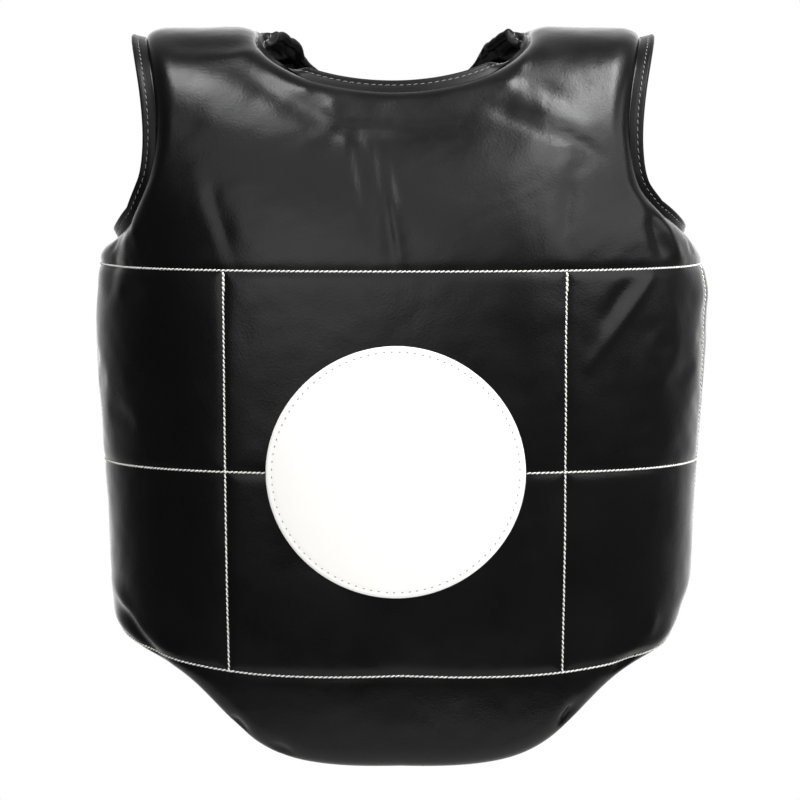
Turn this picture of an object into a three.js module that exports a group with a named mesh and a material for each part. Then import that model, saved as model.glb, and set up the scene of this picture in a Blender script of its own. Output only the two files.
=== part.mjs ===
// Body protector for ring sports: a thick padded front that wraps round the sides and over the shoulders,
// two thin back halves closed by a strap, bound neck and arm edges, and a round patch on the front.
// Millimetres, +Z up, the front faces -Y, and right is +X. The origin is between the two shoulder ridges, at
// the height where the wearer's shoulders carry the vest.
//
// Every piece lies on one body form. A place on the form is written (s, l): l runs along the form's side
// view, from the front hem (negative) over the shoulder ridge (zero) to the back hem (positive), and s runs
// round the body from the middle line of the front or of the back.

import * as THREE from "three";

const { clamp, lerp, smoothstep, degToRad } = THREE.MathUtils;

// The body form: its side view, row by row from the front hem to the back hem, and its half width by height.
const SIDE_VIEW = [
  { level: "front hem", y: -96, z: -530 },
  { level: "lap", y: -110, z: -470 },
  { level: "waist", y: -120, z: -390 },
  { level: "belly", y: -126, z: -300 },
  { level: "chest", y: -128, z: -200 },
  { level: "front underarm", y: -123, z: -130 },
  { level: "collar", y: -101, z: -64 },
  { level: "front of shoulder", y: -55, z: -15 },
  { level: "ridge", y: 0, z: 0 },
  { level: "back of shoulder", y: 52, z: -15 },
  { level: "shoulder blade", y: 92, z: -64 },
  { level: "back underarm", y: 108, z: -130 },
  { level: "upper back", y: 112, z: -200 },
  { level: "lower back", y: 108, z: -300 },
  { level: "loin", y: 104, z: -390 },
  { level: "back hem", y: 100, z: -470 },
];
const HALF_WIDTH = [
  { z: -530, half: 180 },
  { z: -390, half: 190 },
  { z: -300, half: 195 },
  { z: -190, half: 201 },
  { z: -130, half: 200 },
  { z: -64, half: 220 },
  { z: 0, half: 240 },
];
const SECTION_SQUARENESS = 2.4; // 2 is an ellipse, more is boxier
const SHOULDER_REACH = 150; // along l, how far the shoulder's own shape reaches from the ridge
const SHOULDER_DROP = 9; // how far the shoulder's cross section curves down at full width
const SHOULDER_SHIFT = { x: -4.5, fromZ: -145, toZ: -100 }; // the shoulders sit a little to the left

// The padded front.
const PADDING = [
  { z: -530, thick: 25 },
  { z: -390, thick: 28 },
  { z: -200, thick: 27 },
  { z: -64, thick: 24 },
  { z: 0, thick: 18 },
];
const LAP_GAP = 0.75; // clearance between the curved pieces where one lies under another
const FLANGE = 3.4; // thickness of a padded piece at its sewn edge
const FLANGE_SEAT = 10; // how far the front's sewn edge stands off the body form
const SEAT_FADE = 45; // the seat dies away over this length before the edges that are sewn to the back
const FRONT_ROLL = 24; // distance from its edge at which the front's padding is full
const WING_END = 345; // s at which the front ends, behind the side
const STRAP_END = 62; // l at which the front ends, behind the ridge
const FRONT_HEM = [
  { s: 0, z: -519 },
  { s: 60, z: -517 },
  { s: 108, z: -498 },
  { s: 148, z: -461 },
  { s: 190, z: -443 },
  { s: 235, z: -433 },
  { s: 290, z: -428 },
  { s: WING_END, z: -428 },
];
const ARM_CORNER = { s: 198, z: -118 };
const WING_TOP_Z = -131; // height of the wing's top at its end
const UNDERARM_EDGE = [
  ARM_CORNER,
  { s: 220, z: -129 },
  { s: 245, z: -137 },
  { s: 275, z: -140 },
  { s: 310, z: -137 },
  { s: WING_END, z: WING_TOP_Z },
];
const FRONT_ARM_EDGE = [
  ARM_CORNER,
  { z: -100, s: 182 },
  { z: -80, s: 175 },
  { z: -50, s: 173 },
  { z: -20, s: 178 },
  { z: 0, s: 186 },
];
const NECK = { halfWidth: 99, cornerZ: -3, depth: 66 }; // the depth is along l

// The quilting: lines sewn through the front's padding.
const CHEST_LINE_Z = -160;
const BELLY_LINE_Z = -303;
const FRONT_UPRIGHT = 116; // s of the upright lines on the front
const SIDE_UPRIGHT = 260; // s of the upright lines at the sides
const LAP_LINE = [
  { s: 0, z: -449 },
  { s: 120, z: -448 },
  { s: 160, z: -443 },
  { s: 195, z: -433 },
  { s: 235, z: -416 },
  { s: 290, z: -412 },
  { s: 345, z: -412 },
];
const CHANNEL = { depth: 3.2, reach: 7 }; // how deep a sewn line pulls the padding in, and how far beside it
const QUILT_STEP = 8; // spacing of the points that stand for a sewn line

// Main folds and dents of the front, each a straight run seen from the front, from (x0, z0) to (x1, z1).
// Its depth fades out over its reach to each side.
const FOLDS = [
  { place: "arm corner right", x0: 199, z0: -112, x1: 205, z1: -190, reach: 9, depth: 5 },
  { place: "arm corner left", x0: -199, z0: -112, x1: -207, z1: -200, reach: 9, depth: 5 },
  { place: "shoulder right", x0: 68, z0: -46, x1: 138, z1: -70, reach: 9, depth: 4 },
  { place: "shoulder left", x0: -172, z0: -10, x1: -104, z1: -14, reach: 12, depth: 4 },
  { place: "side right", x0: 188, z0: -158, x1: 138, z1: -222, reach: 10, depth: 3.5 },
  { place: "breast left", x0: -150, z0: -84, x1: -126, z1: -150, reach: 12, depth: 2.5 },
  { place: "breast middle", x0: -30, z0: -70, x1: -14, z1: -150, reach: 9, depth: 2 },
  { place: "hip left", x0: -206, z0: -396, x1: -172, z1: -440, reach: 12, depth: 8 },
  { place: "hip right", x0: 168, z0: -436, x1: 180, z1: -424, reach: 9, depth: 8 },
  { place: "hem left", x0: -118, z0: -494, x1: -110, z1: -486, reach: 7, depth: 6 },
  { place: "hem right", x0: 132, z0: -484, x1: 124, z1: -474, reach: 7, depth: 6 },
];

// The back halves, thinly padded, and the strap that closes them.
const BACK_PAD = 9;
const BACK_ROLL = 12;
const BACK_LAP = 18; // how far a back half reaches under the front
const BACK_CLEAR = 2.5; // how far beyond the front's edge its padding starts
const BACK_HEM_Z = -428;
const BACK_ARM_EDGE = [
  { z: 0, s: 186 },
  { z: -20, s: 181 },
  { z: -60, s: 172 },
  { z: -100, s: 174 },
];
const NECK_BOTTOM_Z = -140; // where the neck edge meets the opening down the back
const BACK_NECK_EDGE = [
  { z: 0, s: 97 },
  { z: -4, s: 86 },
  { z: -12, s: 73 },
  { z: -30, s: 57 },
  { z: -60, s: 41 },
  { z: -100, s: 27 },
  { z: NECK_BOTTOM_Z, s: 22 },
];
const STRAP = { z: -300, width: 64, halfLength: 105, thickness: 3, gap: 0.6, columns: 18, rows: 3 };

// The bindings, flat and sewn on all round, and the round patch.
const BINDING = { width: 8.5, thickness: 3.6, gap: 0.5 };
const PATCH = { z: -302, radius: 88, thickness: 1.8, gap: 0.5 };
const PATCH_RINGS = 5;
const PATCH_SECTORS = 40;

// Colours and finishes.
const BLACK_LEATHERETTE = { color: 0x17171a, roughness: 0.42, metalness: 0 };
const BLACK_BINDING = { color: 0x1d1d20, roughness: 0.5, metalness: 0 };
const WHITE_LEATHERETTE = { color: 0xf2f2ef, roughness: 0.5, metalness: 0 };
const BLACK_WEBBING = { color: 0x141416, roughness: 0.85, metalness: 0 };

// A smooth curve through given values: a natural cubic spline, held level beyond its ends.
function splineThrough(knots, values) {
  const last = knots.length - 1;
  const bend = new Array(last + 1).fill(0);
  const pivot = new Array(last + 1).fill(0);
  for (let i = 1; i < last; i++) {
    const before = knots[i] - knots[i - 1];
    const after = knots[i + 1] - knots[i];
    const kink = (values[i + 1] - values[i]) / after - (values[i] - values[i - 1]) / before;
    const diagonal = 2 * (before + after) - before * pivot[i - 1];
    pivot[i] = after / diagonal;
    bend[i] = (6 * kink - before * bend[i - 1]) / diagonal;
  }
  for (let i = last - 1; i > 0; i--) bend[i] -= pivot[i] * bend[i + 1];
  return (t) => {
    let i = 0;
    while (i < last - 1 && t > knots[i + 1]) i++;
    const span = knots[i + 1] - knots[i];
    const b = clamp((t - knots[i]) / span, 0, 1);
    const a = 1 - b;
    const curve = (((a ** 3 - a) * bend[i] + (b ** 3 - b) * bend[i + 1]) * span ** 2) / 6;
    return a * values[i] + b * values[i + 1] + curve;
  };
}

// A spline through two named columns of a table.
function columnSpline(table, from, to) {
  const rows = [...table].sort((p, q) => p[from] - q[from]);
  return splineThrough(rows.map((row) => row[from]), rows.map((row) => row[to]));
}

// The side view by l, which is measured along it from the ridge.
const sideKnots = [0];
for (let i = 1; i < SIDE_VIEW.length; i++) {
  const step = Math.hypot(SIDE_VIEW[i].y - SIDE_VIEW[i - 1].y, SIDE_VIEW[i].z - SIDE_VIEW[i - 1].z);
  sideKnots.push(sideKnots[i - 1] + step);
}
const ridgeKnot = sideKnots[SIDE_VIEW.findIndex((row) => row.level === "ridge")];
const sideL = sideKnots.map((knot) => knot - ridgeKnot);
const sideY = splineThrough(sideL, SIDE_VIEW.map((row) => row.y));
const sideZ = splineThrough(sideL, SIDE_VIEW.map((row) => row.z));
const halfWidth = columnSpline(HALF_WIDTH, "z", "half");

// The l of a height on the front or on the back, found by halving.
const HALVINGS = 40;
function lAtHeight(z, end) {
  let low = end;
  let high = 0;
  for (let i = 0; i < HALVINGS; i++) {
    const middle = (low + high) / 2;
    if (sideZ(middle) < z) low = middle;
    else high = middle;
  }
  return (low + high) / 2;
}
const frontL = (z) => lAtHeight(z, sideL[0]);
const backL = (z) => lAtHeight(z, sideL.at(-1));

// The form's cross section at l, as points with their distance s from the middle line, their sideways
// distance x and their depth behind the middle line.
const bodyShare = (l) => smoothstep(Math.abs(l), 0, SHOULDER_REACH);
const sections = new Map();
function sectionAt(l) {
  const key = l.toFixed(2);
  if (sections.has(key)) return sections.get(key);
  const half = halfWidth(sideZ(l));
  const opposite = l < 0 ? backL(sideZ(l)) : frontL(sideZ(l));
  const near = lerp(SHOULDER_DROP, Math.abs(sideY(l)), bodyShare(l));
  const far = lerp(SHOULDER_DROP, Math.abs(sideY(opposite)), bodyShare(l));
  const points = [];
  for (let degrees = 0; degrees <= 180; degrees++) {
    const side = Math.sin(degToRad(degrees));
    const ahead = Math.cos(degToRad(degrees));
    const depth = ahead > 0 ? near : far;
    const power = (side / half) ** SECTION_SQUARENESS + (Math.abs(ahead) / depth) ** SECTION_SQUARENESS;
    const radius = power ** (-1 / SECTION_SQUARENESS);
    const point = { x: radius * side, depth: near - radius * ahead, s: 0 };
    const before = points.at(-1);
    if (before) point.s = before.s + Math.hypot(point.x - before.x, point.depth - before.depth);
    points.push(point);
  }
  sections.set(key, points);
  return points;
}

// The place (s, l) on the form as a point.
function formPoint({ s, l }) {
  const section = sectionAt(l);
  const reach = Math.abs(s);
  let i = 1;
  while (i < section.length - 1 && section[i].s < reach) i++;
  const share = (reach - section[i - 1].s) / (section[i].s - section[i - 1].s);
  const x = lerp(section[i - 1].x, section[i].x, share) * Math.sign(s);
  const depth = lerp(section[i - 1].depth, section[i].depth, share);
  const shift = SHOULDER_SHIFT.x * smoothstep(sideZ(l), SHOULDER_SHIFT.fromZ, SHOULDER_SHIFT.toZ);
  const turn = (Math.PI / 2) * (1 + Math.sign(l) * bodyShare(l));
  return new THREE.Vector3(x + shift, sideY(l) + depth * Math.cos(turn), sideZ(l) - depth * Math.sin(turn));
}

// The outward normal of the form at a place, and the place raised along it.
const NORMAL_STEP = 3;
function formNormal({ s, l }) {
  const along = formPoint({ s, l: l + NORMAL_STEP }).sub(formPoint({ s, l: l - NORMAL_STEP }));
  const round = formPoint({ s: s + NORMAL_STEP, l }).sub(formPoint({ s: s - NORMAL_STEP, l }));
  return round.cross(along).normalize();
}
const raised = (place, height) => formPoint(place).addScaledVector(formNormal(place), height);

// Distance from a point to a line of points.
const segment = new THREE.Line3();
const nearest = new THREE.Vector3();
function distanceToLine(point, line) {
  let least = Infinity;
  for (let i = 1; i < line.length; i++) {
    segment.set(line[i - 1], line[i]).closestPointToPoint(point, true, nearest);
    least = Math.min(least, nearest.distanceTo(point));
  }
  return least;
}

// A sheet is a grid of places on the form and the four-sided faces between them. Rows run along l and columns
// along s, and only the cells that are asked for are filled. Its rim is the sides that only one face has.
function makeSheet(rowCount, columnCount, placeAt, isFilled) {
  const places = [];
  const ids = new Map();
  const idOf = (row, column) => {
    const key = row * columnCount + column;
    if (!ids.has(key)) {
      ids.set(key, places.length);
      places.push(placeAt(row, column));
    }
    return ids.get(key);
  };
  const faces = [];
  for (let row = 0; row < rowCount - 1; row++) {
    for (let column = 0; column < columnCount - 1; column++) {
      if (!isFilled(row, column)) continue;
      const right = column + 1;
      faces.push([idOf(row, column), idOf(row, right), idOf(row + 1, right), idOf(row + 1, column)]);
    }
  }
  return { places, faces, rim: rimOf(faces) };
}

function rimOf(faces) {
  const sides = faces.flatMap((face) => face.map((from, i) => [from, face[(i + 1) % face.length]]));
  const directed = new Set(sides.map(([from, to]) => `${from},${to}`));
  return sides.filter(([from, to]) => !directed.has(`${to},${from}`));
}

// Distance of each place of a sheet from the sheet's rim.
function rimDistances({ places, rim }) {
  const points = places.map(formPoint);
  const rimLines = rim.map(([from, to]) => [points[from], points[to]]);
  return points.map((point) => Math.min(...rimLines.map((line) => distanceToLine(point, line))));
}

// A mesh of flat faces, each a ring of point numbers that runs anticlockwise seen from outside.
function meshOf(points, faces) {
  const triangles = [];
  for (const [first, ...others] of faces) {
    for (let i = 1; i < others.length; i++) triangles.push(first, others[i - 1], others[i]);
  }
  const coordinates = points.flatMap((point) => point.toArray());
  const geometry = new THREE.BufferGeometry();
  geometry.setAttribute("position", new THREE.Float32BufferAttribute(coordinates, 3));
  geometry.setIndex(triangles);
  geometry.computeVertexNormals();
  return geometry;
}

// A closed solid between the outer and the inner side of a sheet, each with a point for every place.
function solidBetween({ faces, rim }, outer, inner) {
  const count = outer.length;
  const innerFaces = faces.map((face) => face.map((id) => count + id).reverse());
  const walls = rim.map(([from, to]) => [to, from, count + from, count + to]);
  return meshOf([...outer, ...inner], [...faces, ...innerFaces, ...walls]);
}

// Padding rises from its sewn edge in a quarter of an ellipse.
function rollShare(distance, roll) {
  const inwards = clamp(distance / roll, 0, 1);
  return Math.sqrt(1 - (1 - inwards) ** 2);
}

// The sewn lines of the front's quilting. The belly line stops at the patch.
const lapLineZ = columnSpline(LAP_LINE, "s", "z");
function quiltLines() {
  const across = (from, to, zAt) => {
    const count = Math.ceil((to - from) / QUILT_STEP);
    return Array.from({ length: count + 1 }, (_, i) => {
      const s = lerp(from, to, i / count);
      return formPoint({ s, l: frontL(zAt(Math.abs(s))) });
    });
  };
  const upright = (s) => {
    const bottom = lapLineZ(Math.abs(s));
    const count = Math.ceil((CHEST_LINE_Z - bottom) / QUILT_STEP);
    return Array.from({ length: count + 1 }, (_, i) => {
      return formPoint({ s, l: frontL(lerp(bottom, CHEST_LINE_Z, i / count)) });
    });
  };
  const beside = PATCH.radius + CHANNEL.reach;
  return [
    across(-WING_END, WING_END, lapLineZ),
    across(-WING_END, -beside, () => BELLY_LINE_Z),
    across(beside, WING_END, () => BELLY_LINE_Z),
    across(-WING_END, WING_END, () => CHEST_LINE_Z),
    ...[-SIDE_UPRIGHT, -FRONT_UPRIGHT, FRONT_UPRIGHT, SIDE_UPRIGHT].map(upright),
  ];
}
const quilting = quiltLines();

// How far the folds press the front in at a point, seen from the front.
function foldDepth(point) {
  if (point.y > 0) return 0;
  const seen = new THREE.Vector3(point.x, 0, point.z);
  let depth = 0;
  for (const fold of FOLDS) {
    const run = [new THREE.Vector3(fold.x0, 0, fold.z0), new THREE.Vector3(fold.x1, 0, fold.z1)];
    depth += fold.depth * Math.exp(-((distanceToLine(seen, run) / fold.reach) ** 2));
  }
  return depth;
}

// Thickness of the front's padding at a place, away from its edges.
const fullPadding = columnSpline(PADDING, "z", "thick");
function quiltedPadding(place) {
  const point = formPoint(place);
  const sewn = Math.min(...quilting.map((line) => distanceToLine(point, line)));
  const channel = CHANNEL.depth * Math.exp(-((sewn / CHANNEL.reach) ** 2));
  return fullPadding(sideZ(place.l)) - channel - foldDepth(point);
}

// How far the front's sewn edge stands off the form: not at all where it is sewn to the back halves.
function seatAt({ s, l }) {
  const beforeWingEnd = l < 0 ? smoothstep(WING_END - Math.abs(s), 0, SEAT_FADE) : 1;
  const beforeStrapEnd = smoothstep(STRAP_END - l, 0, SEAT_FADE);
  return FLANGE_SEAT * beforeWingEnd * beforeStrapEnd;
}

// The arm side and the neck side at l, from the front underarm over the ridge and down the back.
const frontArmS = columnSpline(FRONT_ARM_EDGE, "z", "s");
const wingEndS = (l) => sectionAt(l).at(-1).s - WING_END;
const wingTopL = backL(WING_TOP_Z);
const backArmS = columnSpline([...BACK_ARM_EDGE, { z: WING_TOP_Z, s: wingEndS(wingTopL) }], "z", "s");
const backNeckS = columnSpline(BACK_NECK_EDGE, "z", "s");
const armCornerL = frontL(ARM_CORNER.z);
const neckCornerL = frontL(NECK.cornerZ);
const armS = (l) => (l < 0 ? frontArmS : backArmS)(sideZ(l));
function neckS(l) {
  if (l > 0) return backNeckS(sideZ(l));
  return lerp(FRONT_UPRIGHT, NECK.halfWidth, smoothstep(l, armCornerL, neckCornerL));
}

// The front neckline is half an ellipse. Across is 0 in the middle and 1 at the strap.
const necklineL = (across) => neckCornerL - NECK.depth * Math.sqrt(1 - across ** 2);

// The grid of the front. Columns are named by their s at the belly. Rows run from the hem up to the
// underarm, then on to the neckline, then along the shoulder straps. Lines are closer at the edges and beside
// the sewn lines.
const COLUMN_BANDS = [
  { from: 0, to: FRONT_UPRIGHT, shares: [0, 0.3, 0.56, 0.76, 0.88, 0.95, 1] },
  { from: FRONT_UPRIGHT, to: ARM_CORNER.s, shares: [0.11, 0.33, 0.56, 0.77, 0.92, 1] },
  { from: ARM_CORNER.s, to: SIDE_UPRIGHT, shares: [0.28, 0.57, 0.85, 1] },
  { from: SIDE_UPRIGHT, to: WING_END, shares: [0.12, 0.35, 0.6, 0.8, 0.93, 1] },
];
const spread = ({ from, to, shares }) => shares.map((share) => lerp(from, to, share));
const rightColumns = COLUMN_BANDS.flatMap(spread);
const frontColumns = [...rightColumns.slice(1).reverse().map((s) => -s), ...rightColumns];

const hemZ = columnSpline(FRONT_HEM, "s", "z");
const underarmEdgeZ = columnSpline(UNDERARM_EDGE, "s", "z");
const bellyLineZ = () => BELLY_LINE_Z;
const chestLineZ = () => CHEST_LINE_Z;
const ROW_BANDS = [
  { from: hemZ, to: lapLineZ, shares: [0, 0.05, 0.14, 0.3, 0.52, 0.76, 0.9, 1] },
  { from: lapLineZ, to: bellyLineZ, shares: [0.07, 0.28, 0.5, 0.72, 0.93, 1] },
  { from: bellyLineZ, to: chestLineZ, shares: [0.07, 0.28, 0.5, 0.72, 0.93, 1] },
  { from: chestLineZ, to: underarmEdgeZ, shares: [0.3, 0.6, 0.82, 0.95, 1] },
];
const bodyRows = ROW_BANDS.flatMap(({ from, to, shares }) => {
  return shares.map((share) => (s) => lerp(from(s), to(s), share));
});
const CHEST_SHARES = [0.25, 0.48, 0.66, 0.8, 0.9, 0.97, 1];
const STRAP_SHARES = [0.14, 0.28, 0.42, 0.56, 0.7, 0.82, 0.91, 0.97, 1];
const underarmRow = bodyRows.length - 1;
const necklineRow = underarmRow + CHEST_SHARES.length;
const strapEndRow = necklineRow + STRAP_SHARES.length;

// Above the underarm the columns draw together between the neck side and the arm side.
function gatheredPlace(column, l) {
  const reach = Math.abs(column);
  const toNeck = Math.min(reach / FRONT_UPRIGHT, 1);
  const toArm = Math.max(0, (reach - FRONT_UPRIGHT) / (ARM_CORNER.s - FRONT_UPRIGHT));
  return { s: Math.sign(column) * (toNeck * neckS(l) + toArm * (armS(l) - neckS(l))), l };
}

function frontPlace(row, columnIndex) {
  const column = frontColumns[columnIndex];
  const reach = Math.abs(column);
  if (row <= underarmRow) return { s: column, l: frontL(bodyRows[row](reach)) };
  if (row <= necklineRow) {
    const top = necklineL(Math.min(reach / FRONT_UPRIGHT, 1));
    return gatheredPlace(column, lerp(armCornerL, top, CHEST_SHARES[row - underarmRow - 1]));
  }
  return gatheredPlace(column, lerp(neckCornerL, STRAP_END, STRAP_SHARES[row - necklineRow - 1]));
}

function frontIsFilled(row, columnIndex) {
  const reach = Math.abs(frontColumns[columnIndex] + frontColumns[columnIndex + 1]) / 2;
  if (row < underarmRow) return true;
  if (row < necklineRow) return reach < ARM_CORNER.s;
  return reach > FRONT_UPRIGHT && reach < ARM_CORNER.s;
}

function frontPad() {
  const sheet = makeSheet(strapEndRow + 1, frontColumns.length, frontPlace, frontIsFilled);
  const rolls = rimDistances(sheet).map((distance) => rollShare(distance, FRONT_ROLL));
  const inner = sheet.places.map((place, i) => raised(place, lerp(seatAt(place), 0, rolls[i])));
  const outer = sheet.places.map((place, i) => {
    return raised(place, lerp(seatAt(place) + FLANGE, quiltedPadding(place), rolls[i]));
  });
  return solidBetween(sheet, outer, inner);
}

// A back half. Its side edge and its shoulder end lie under the front, and its padding starts beyond them.
const BACK_NECK_SHARES = [0, 0.04, 0.13, 0.4, 0.7, 1]; // columns from the neck side to the padding's far end
const BACK_FIELD_EDGE = BACK_LAP + 30; // distance of that end from the outer edge
const BACK_OUTER_COLUMNS = [BACK_LAP + 14, BACK_LAP + 7, BACK_LAP + BACK_CLEAR, BACK_LAP, 0]; // the same
const BACK_ROW_BANDS = [
  { from: STRAP_END - BACK_LAP, to: STRAP_END, shares: [0, 0.5, 1] },
  { from: STRAP_END, to: wingTopL, shares: [0.05, 0.12, 0.24, 0.38, 0.52, 0.66, 0.8, 0.9, 1] },
  { from: wingTopL, to: backL(BACK_HEM_Z), shares: [0.03, 0.06, 0.2, 0.4, 0.6, 0.8, 0.93, 0.98, 1] },
];
const backRows = BACK_ROW_BANDS.flatMap(spread);
const backLastColumn = BACK_NECK_SHARES.length + BACK_OUTER_COLUMNS.length - 1;

function backOuterS(l) {
  if (l < wingTopL) return armS(l);
  return wingEndS(l) + BACK_LAP * smoothstep(l, wingTopL, wingTopL + BACK_LAP);
}

// Columns of a back half are counted from its neck side.
function backPlace(side, row, column) {
  const l = backRows[row];
  const outerColumn = column - BACK_NECK_SHARES.length;
  if (outerColumn >= 0) return { s: side * (backOuterS(l) - BACK_OUTER_COLUMNS[outerColumn]), l };
  return { s: side * lerp(neckS(l), backOuterS(l) - BACK_FIELD_EDGE, BACK_NECK_SHARES[column]), l };
}

function backHalf(side) {
  const placeAt = (row, column) => backPlace(side, row, side > 0 ? column : backLastColumn - column);
  const sheet = makeSheet(backRows.length, backLastColumn + 1, placeAt, () => true);
  const rims = rimDistances(sheet);
  const inner = sheet.places.map((place) => raised(place, -LAP_GAP - FLANGE));
  const outer = sheet.places.map((place, i) => {
    const pastStrap = place.l - STRAP_END;
    const pastWing = place.l < wingTopL ? Infinity : backOuterS(place.l) - BACK_LAP - Math.abs(place.s);
    const clear = Math.max(0, Math.min(rims[i], pastStrap - BACK_CLEAR, pastWing - BACK_CLEAR));
    return raised(place, lerp(-LAP_GAP, BACK_PAD, rollShare(clear, BACK_ROLL)));
  });
  return solidBetween(sheet, outer, inner);
}

// A binding: a flat strip along a sewn edge, on its open side. The edge is a row of places, with the vest on
// the left for someone who walks along it outside the form.
const BINDING_CORNERS = [
  { across: BINDING.gap, up: BINDING.thickness / 2 },
  { across: BINDING.gap, up: -BINDING.thickness / 2 },
  { across: BINDING.gap + BINDING.width, up: -BINDING.thickness / 2 },
  { across: BINDING.gap + BINDING.width, up: BINDING.thickness / 2 },
];
function binding(edge, isLoop) {
  const count = edge.length;
  const sides = BINDING_CORNERS.length;
  const wrap = (i) => (isLoop ? (i + count) % count : clamp(i, 0, count - 1));
  const middle = edge.map((place) => raised(place, flangeHeight(place)));
  const points = edge.flatMap((place, i) => {
    const along = middle[wrap(i + 1)].clone().sub(middle[wrap(i - 1)]);
    const up = formNormal(place);
    const out = along.cross(up).normalize();
    return BINDING_CORNERS.map((corner) => {
      return middle[i].clone().addScaledVector(out, corner.across).addScaledVector(up, corner.up);
    });
  });
  const ring = (i) => BINDING_CORNERS.map((_, k) => wrap(i) * sides + k);
  const faces = isLoop ? [] : [ring(0), ring(count - 1).reverse()];
  for (let i = 0; i < (isLoop ? count : count - 1); i++) {
    const [here, ahead] = [ring(i), ring(i + 1)];
    here.forEach((corner, k) => {
      const next = (k + 1) % sides;
      faces.push([corner, ahead[k], ahead[next], here[next]]);
    });
  }
  return meshOf(points, faces);
}

// Height of the middle of the sewn edge above the form, on the front or past it on the back.
function flangeHeight(place) {
  const onFront = seatAt(place) + FLANGE / 2;
  const onBack = -LAP_GAP - FLANGE / 2;
  return lerp(onFront, onBack, smoothstep(place.l, STRAP_END, STRAP_END + BACK_LAP));
}

const mirrored = (edge) => edge.map(({ s, l }) => ({ s: -s, l })).reverse();
const SAME_PLACE = 0.1; // places closer than this are taken as one
const columnAt = (s) => frontColumns.findIndex((column) => Math.abs(column - s) < SAME_PLACE);
const numbersBetween = (from, to) => Array.from({ length: to - from + 1 }, (_, i) => from + i);
const backRowsBetween = (from, to) => numbersBetween(0, backRows.length - 1).filter((row) => {
  return backRows[row] > from + SAME_PLACE && backRows[row] < to - SAME_PLACE;
});

// The right arm hole's edge: up the front, over the ridge, down the back, and forward along the wing's top.
function armEdge() {
  const up = numbersBetween(underarmRow, strapEndRow).map((row) => frontPlace(row, columnAt(ARM_CORNER.s)));
  const down = backRowsBetween(STRAP_END, wingTopL).map((row) => backPlace(1, row, backLastColumn));
  const wingColumns = numbersBetween(columnAt(ARM_CORNER.s) + 1, frontColumns.length - 1).reverse();
  return [...up, ...down, ...wingColumns.map((column) => frontPlace(underarmRow, column))];
}

// The neck's edge, from the middle of the back over the right shoulder, along the neckline to the left.
function neckEdge() {
  const strapRows = numbersBetween(necklineRow + 1, strapEndRow);
  const rightBack = backRowsBetween(STRAP_END, backL(NECK_BOTTOM_Z)).map((row) => backPlace(1, row, 0));
  const rightStrap = strapRows.map((row) => frontPlace(row, columnAt(FRONT_UPRIGHT)));
  const right = [...rightBack.reverse(), ...rightStrap.reverse()];
  const neckline = numbersBetween(columnAt(-FRONT_UPRIGHT), columnAt(FRONT_UPRIGHT)).reverse();
  return [...right, ...neckline.map((column) => frontPlace(necklineRow, column)), ...mirrored(right)];
}

// The round patch, on the front's full padding.
function roundPatch() {
  const middleL = frontL(PATCH.z);
  const places = [{ s: 0, l: middleL }];
  const faces = [];
  const idAt = (ring, sector) => 1 + (ring - 1) * PATCH_SECTORS + (sector % PATCH_SECTORS);
  for (let ring = 1; ring <= PATCH_RINGS; ring++) {
    const radius = (PATCH.radius * ring) / PATCH_RINGS;
    for (let sector = 0; sector < PATCH_SECTORS; sector++) {
      const angle = (2 * Math.PI * sector) / PATCH_SECTORS;
      places.push({ s: radius * Math.cos(angle), l: middleL + radius * Math.sin(angle) });
      const [here, next] = [idAt(ring, sector), idAt(ring, sector + 1)];
      if (ring === 1) faces.push([0, here, next]);
      else faces.push([idAt(ring - 1, sector), here, next, idAt(ring - 1, sector + 1)]);
    }
  }
  const underside = (place) => fullPadding(sideZ(place.l)) + PATCH.gap;
  const outer = places.map((place) => raised(place, underside(place) + PATCH.thickness));
  const inner = places.map((place) => raised(place, underside(place)));
  return solidBetween({ faces, rim: rimOf(faces) }, outer, inner);
}

// The strap across the back, from half to half.
function backStrap() {
  const top = backL(STRAP.z + STRAP.width / 2);
  const bottom = backL(STRAP.z - STRAP.width / 2);
  const placeAt = (row, column) => ({
    s: lerp(-STRAP.halfLength, STRAP.halfLength, column / STRAP.columns),
    l: lerp(top, bottom, row / STRAP.rows),
  });
  const sheet = makeSheet(STRAP.rows + 1, STRAP.columns + 1, placeAt, () => true);
  const underside = BACK_PAD + STRAP.gap;
  const outer = sheet.places.map((place) => raised(place, underside + STRAP.thickness));
  const inner = sheet.places.map((place) => raised(place, underside));
  return solidBetween(sheet, outer, inner);
}

const rightArmEdge = armEdge();
const PIECES = [
  { name: "front_pad", geometry: frontPad(), finish: BLACK_LEATHERETTE },
  { name: "round_patch", geometry: roundPatch(), finish: WHITE_LEATHERETTE },
  { name: "neck_binding", geometry: binding(neckEdge(), false), finish: BLACK_BINDING },
  { name: "armhole_binding_right", geometry: binding(rightArmEdge, true), finish: BLACK_BINDING },
  { name: "armhole_binding_left", geometry: binding(mirrored(rightArmEdge), true), finish: BLACK_BINDING },
  { name: "back_panel_right", geometry: backHalf(1), finish: BLACK_LEATHERETTE },
  { name: "back_panel_left", geometry: backHalf(-1), finish: BLACK_LEATHERETTE },
  { name: "back_strap", geometry: backStrap(), finish: BLACK_WEBBING },
];

const vest = new THREE.Group();
for (const { name, geometry, finish } of PIECES) {
  const piece = new THREE.Mesh(geometry, new THREE.MeshStandardMaterial(finish));
  piece.name = name;
  vest.add(piece);
}

export default vest;
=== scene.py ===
# %% [markdown]
# # A padded body protector
# This lesson dresses a padded vest for ring sports. The frame holds its eight solids at their real
# size: a thick front, two thin back halves, a strap, three edge bindings and a round patch. Here each
# of them gets its real surface: leather pulled over foam, sewn lines, thread, woven elastic. Every size
# below is in millimetres. Blender works in metres, so one factor turns them round at the very end.

# %% Load the frame
import math

import bpy
import numpy as np
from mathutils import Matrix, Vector, noise
from mathutils.kdtree import KDTree


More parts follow.
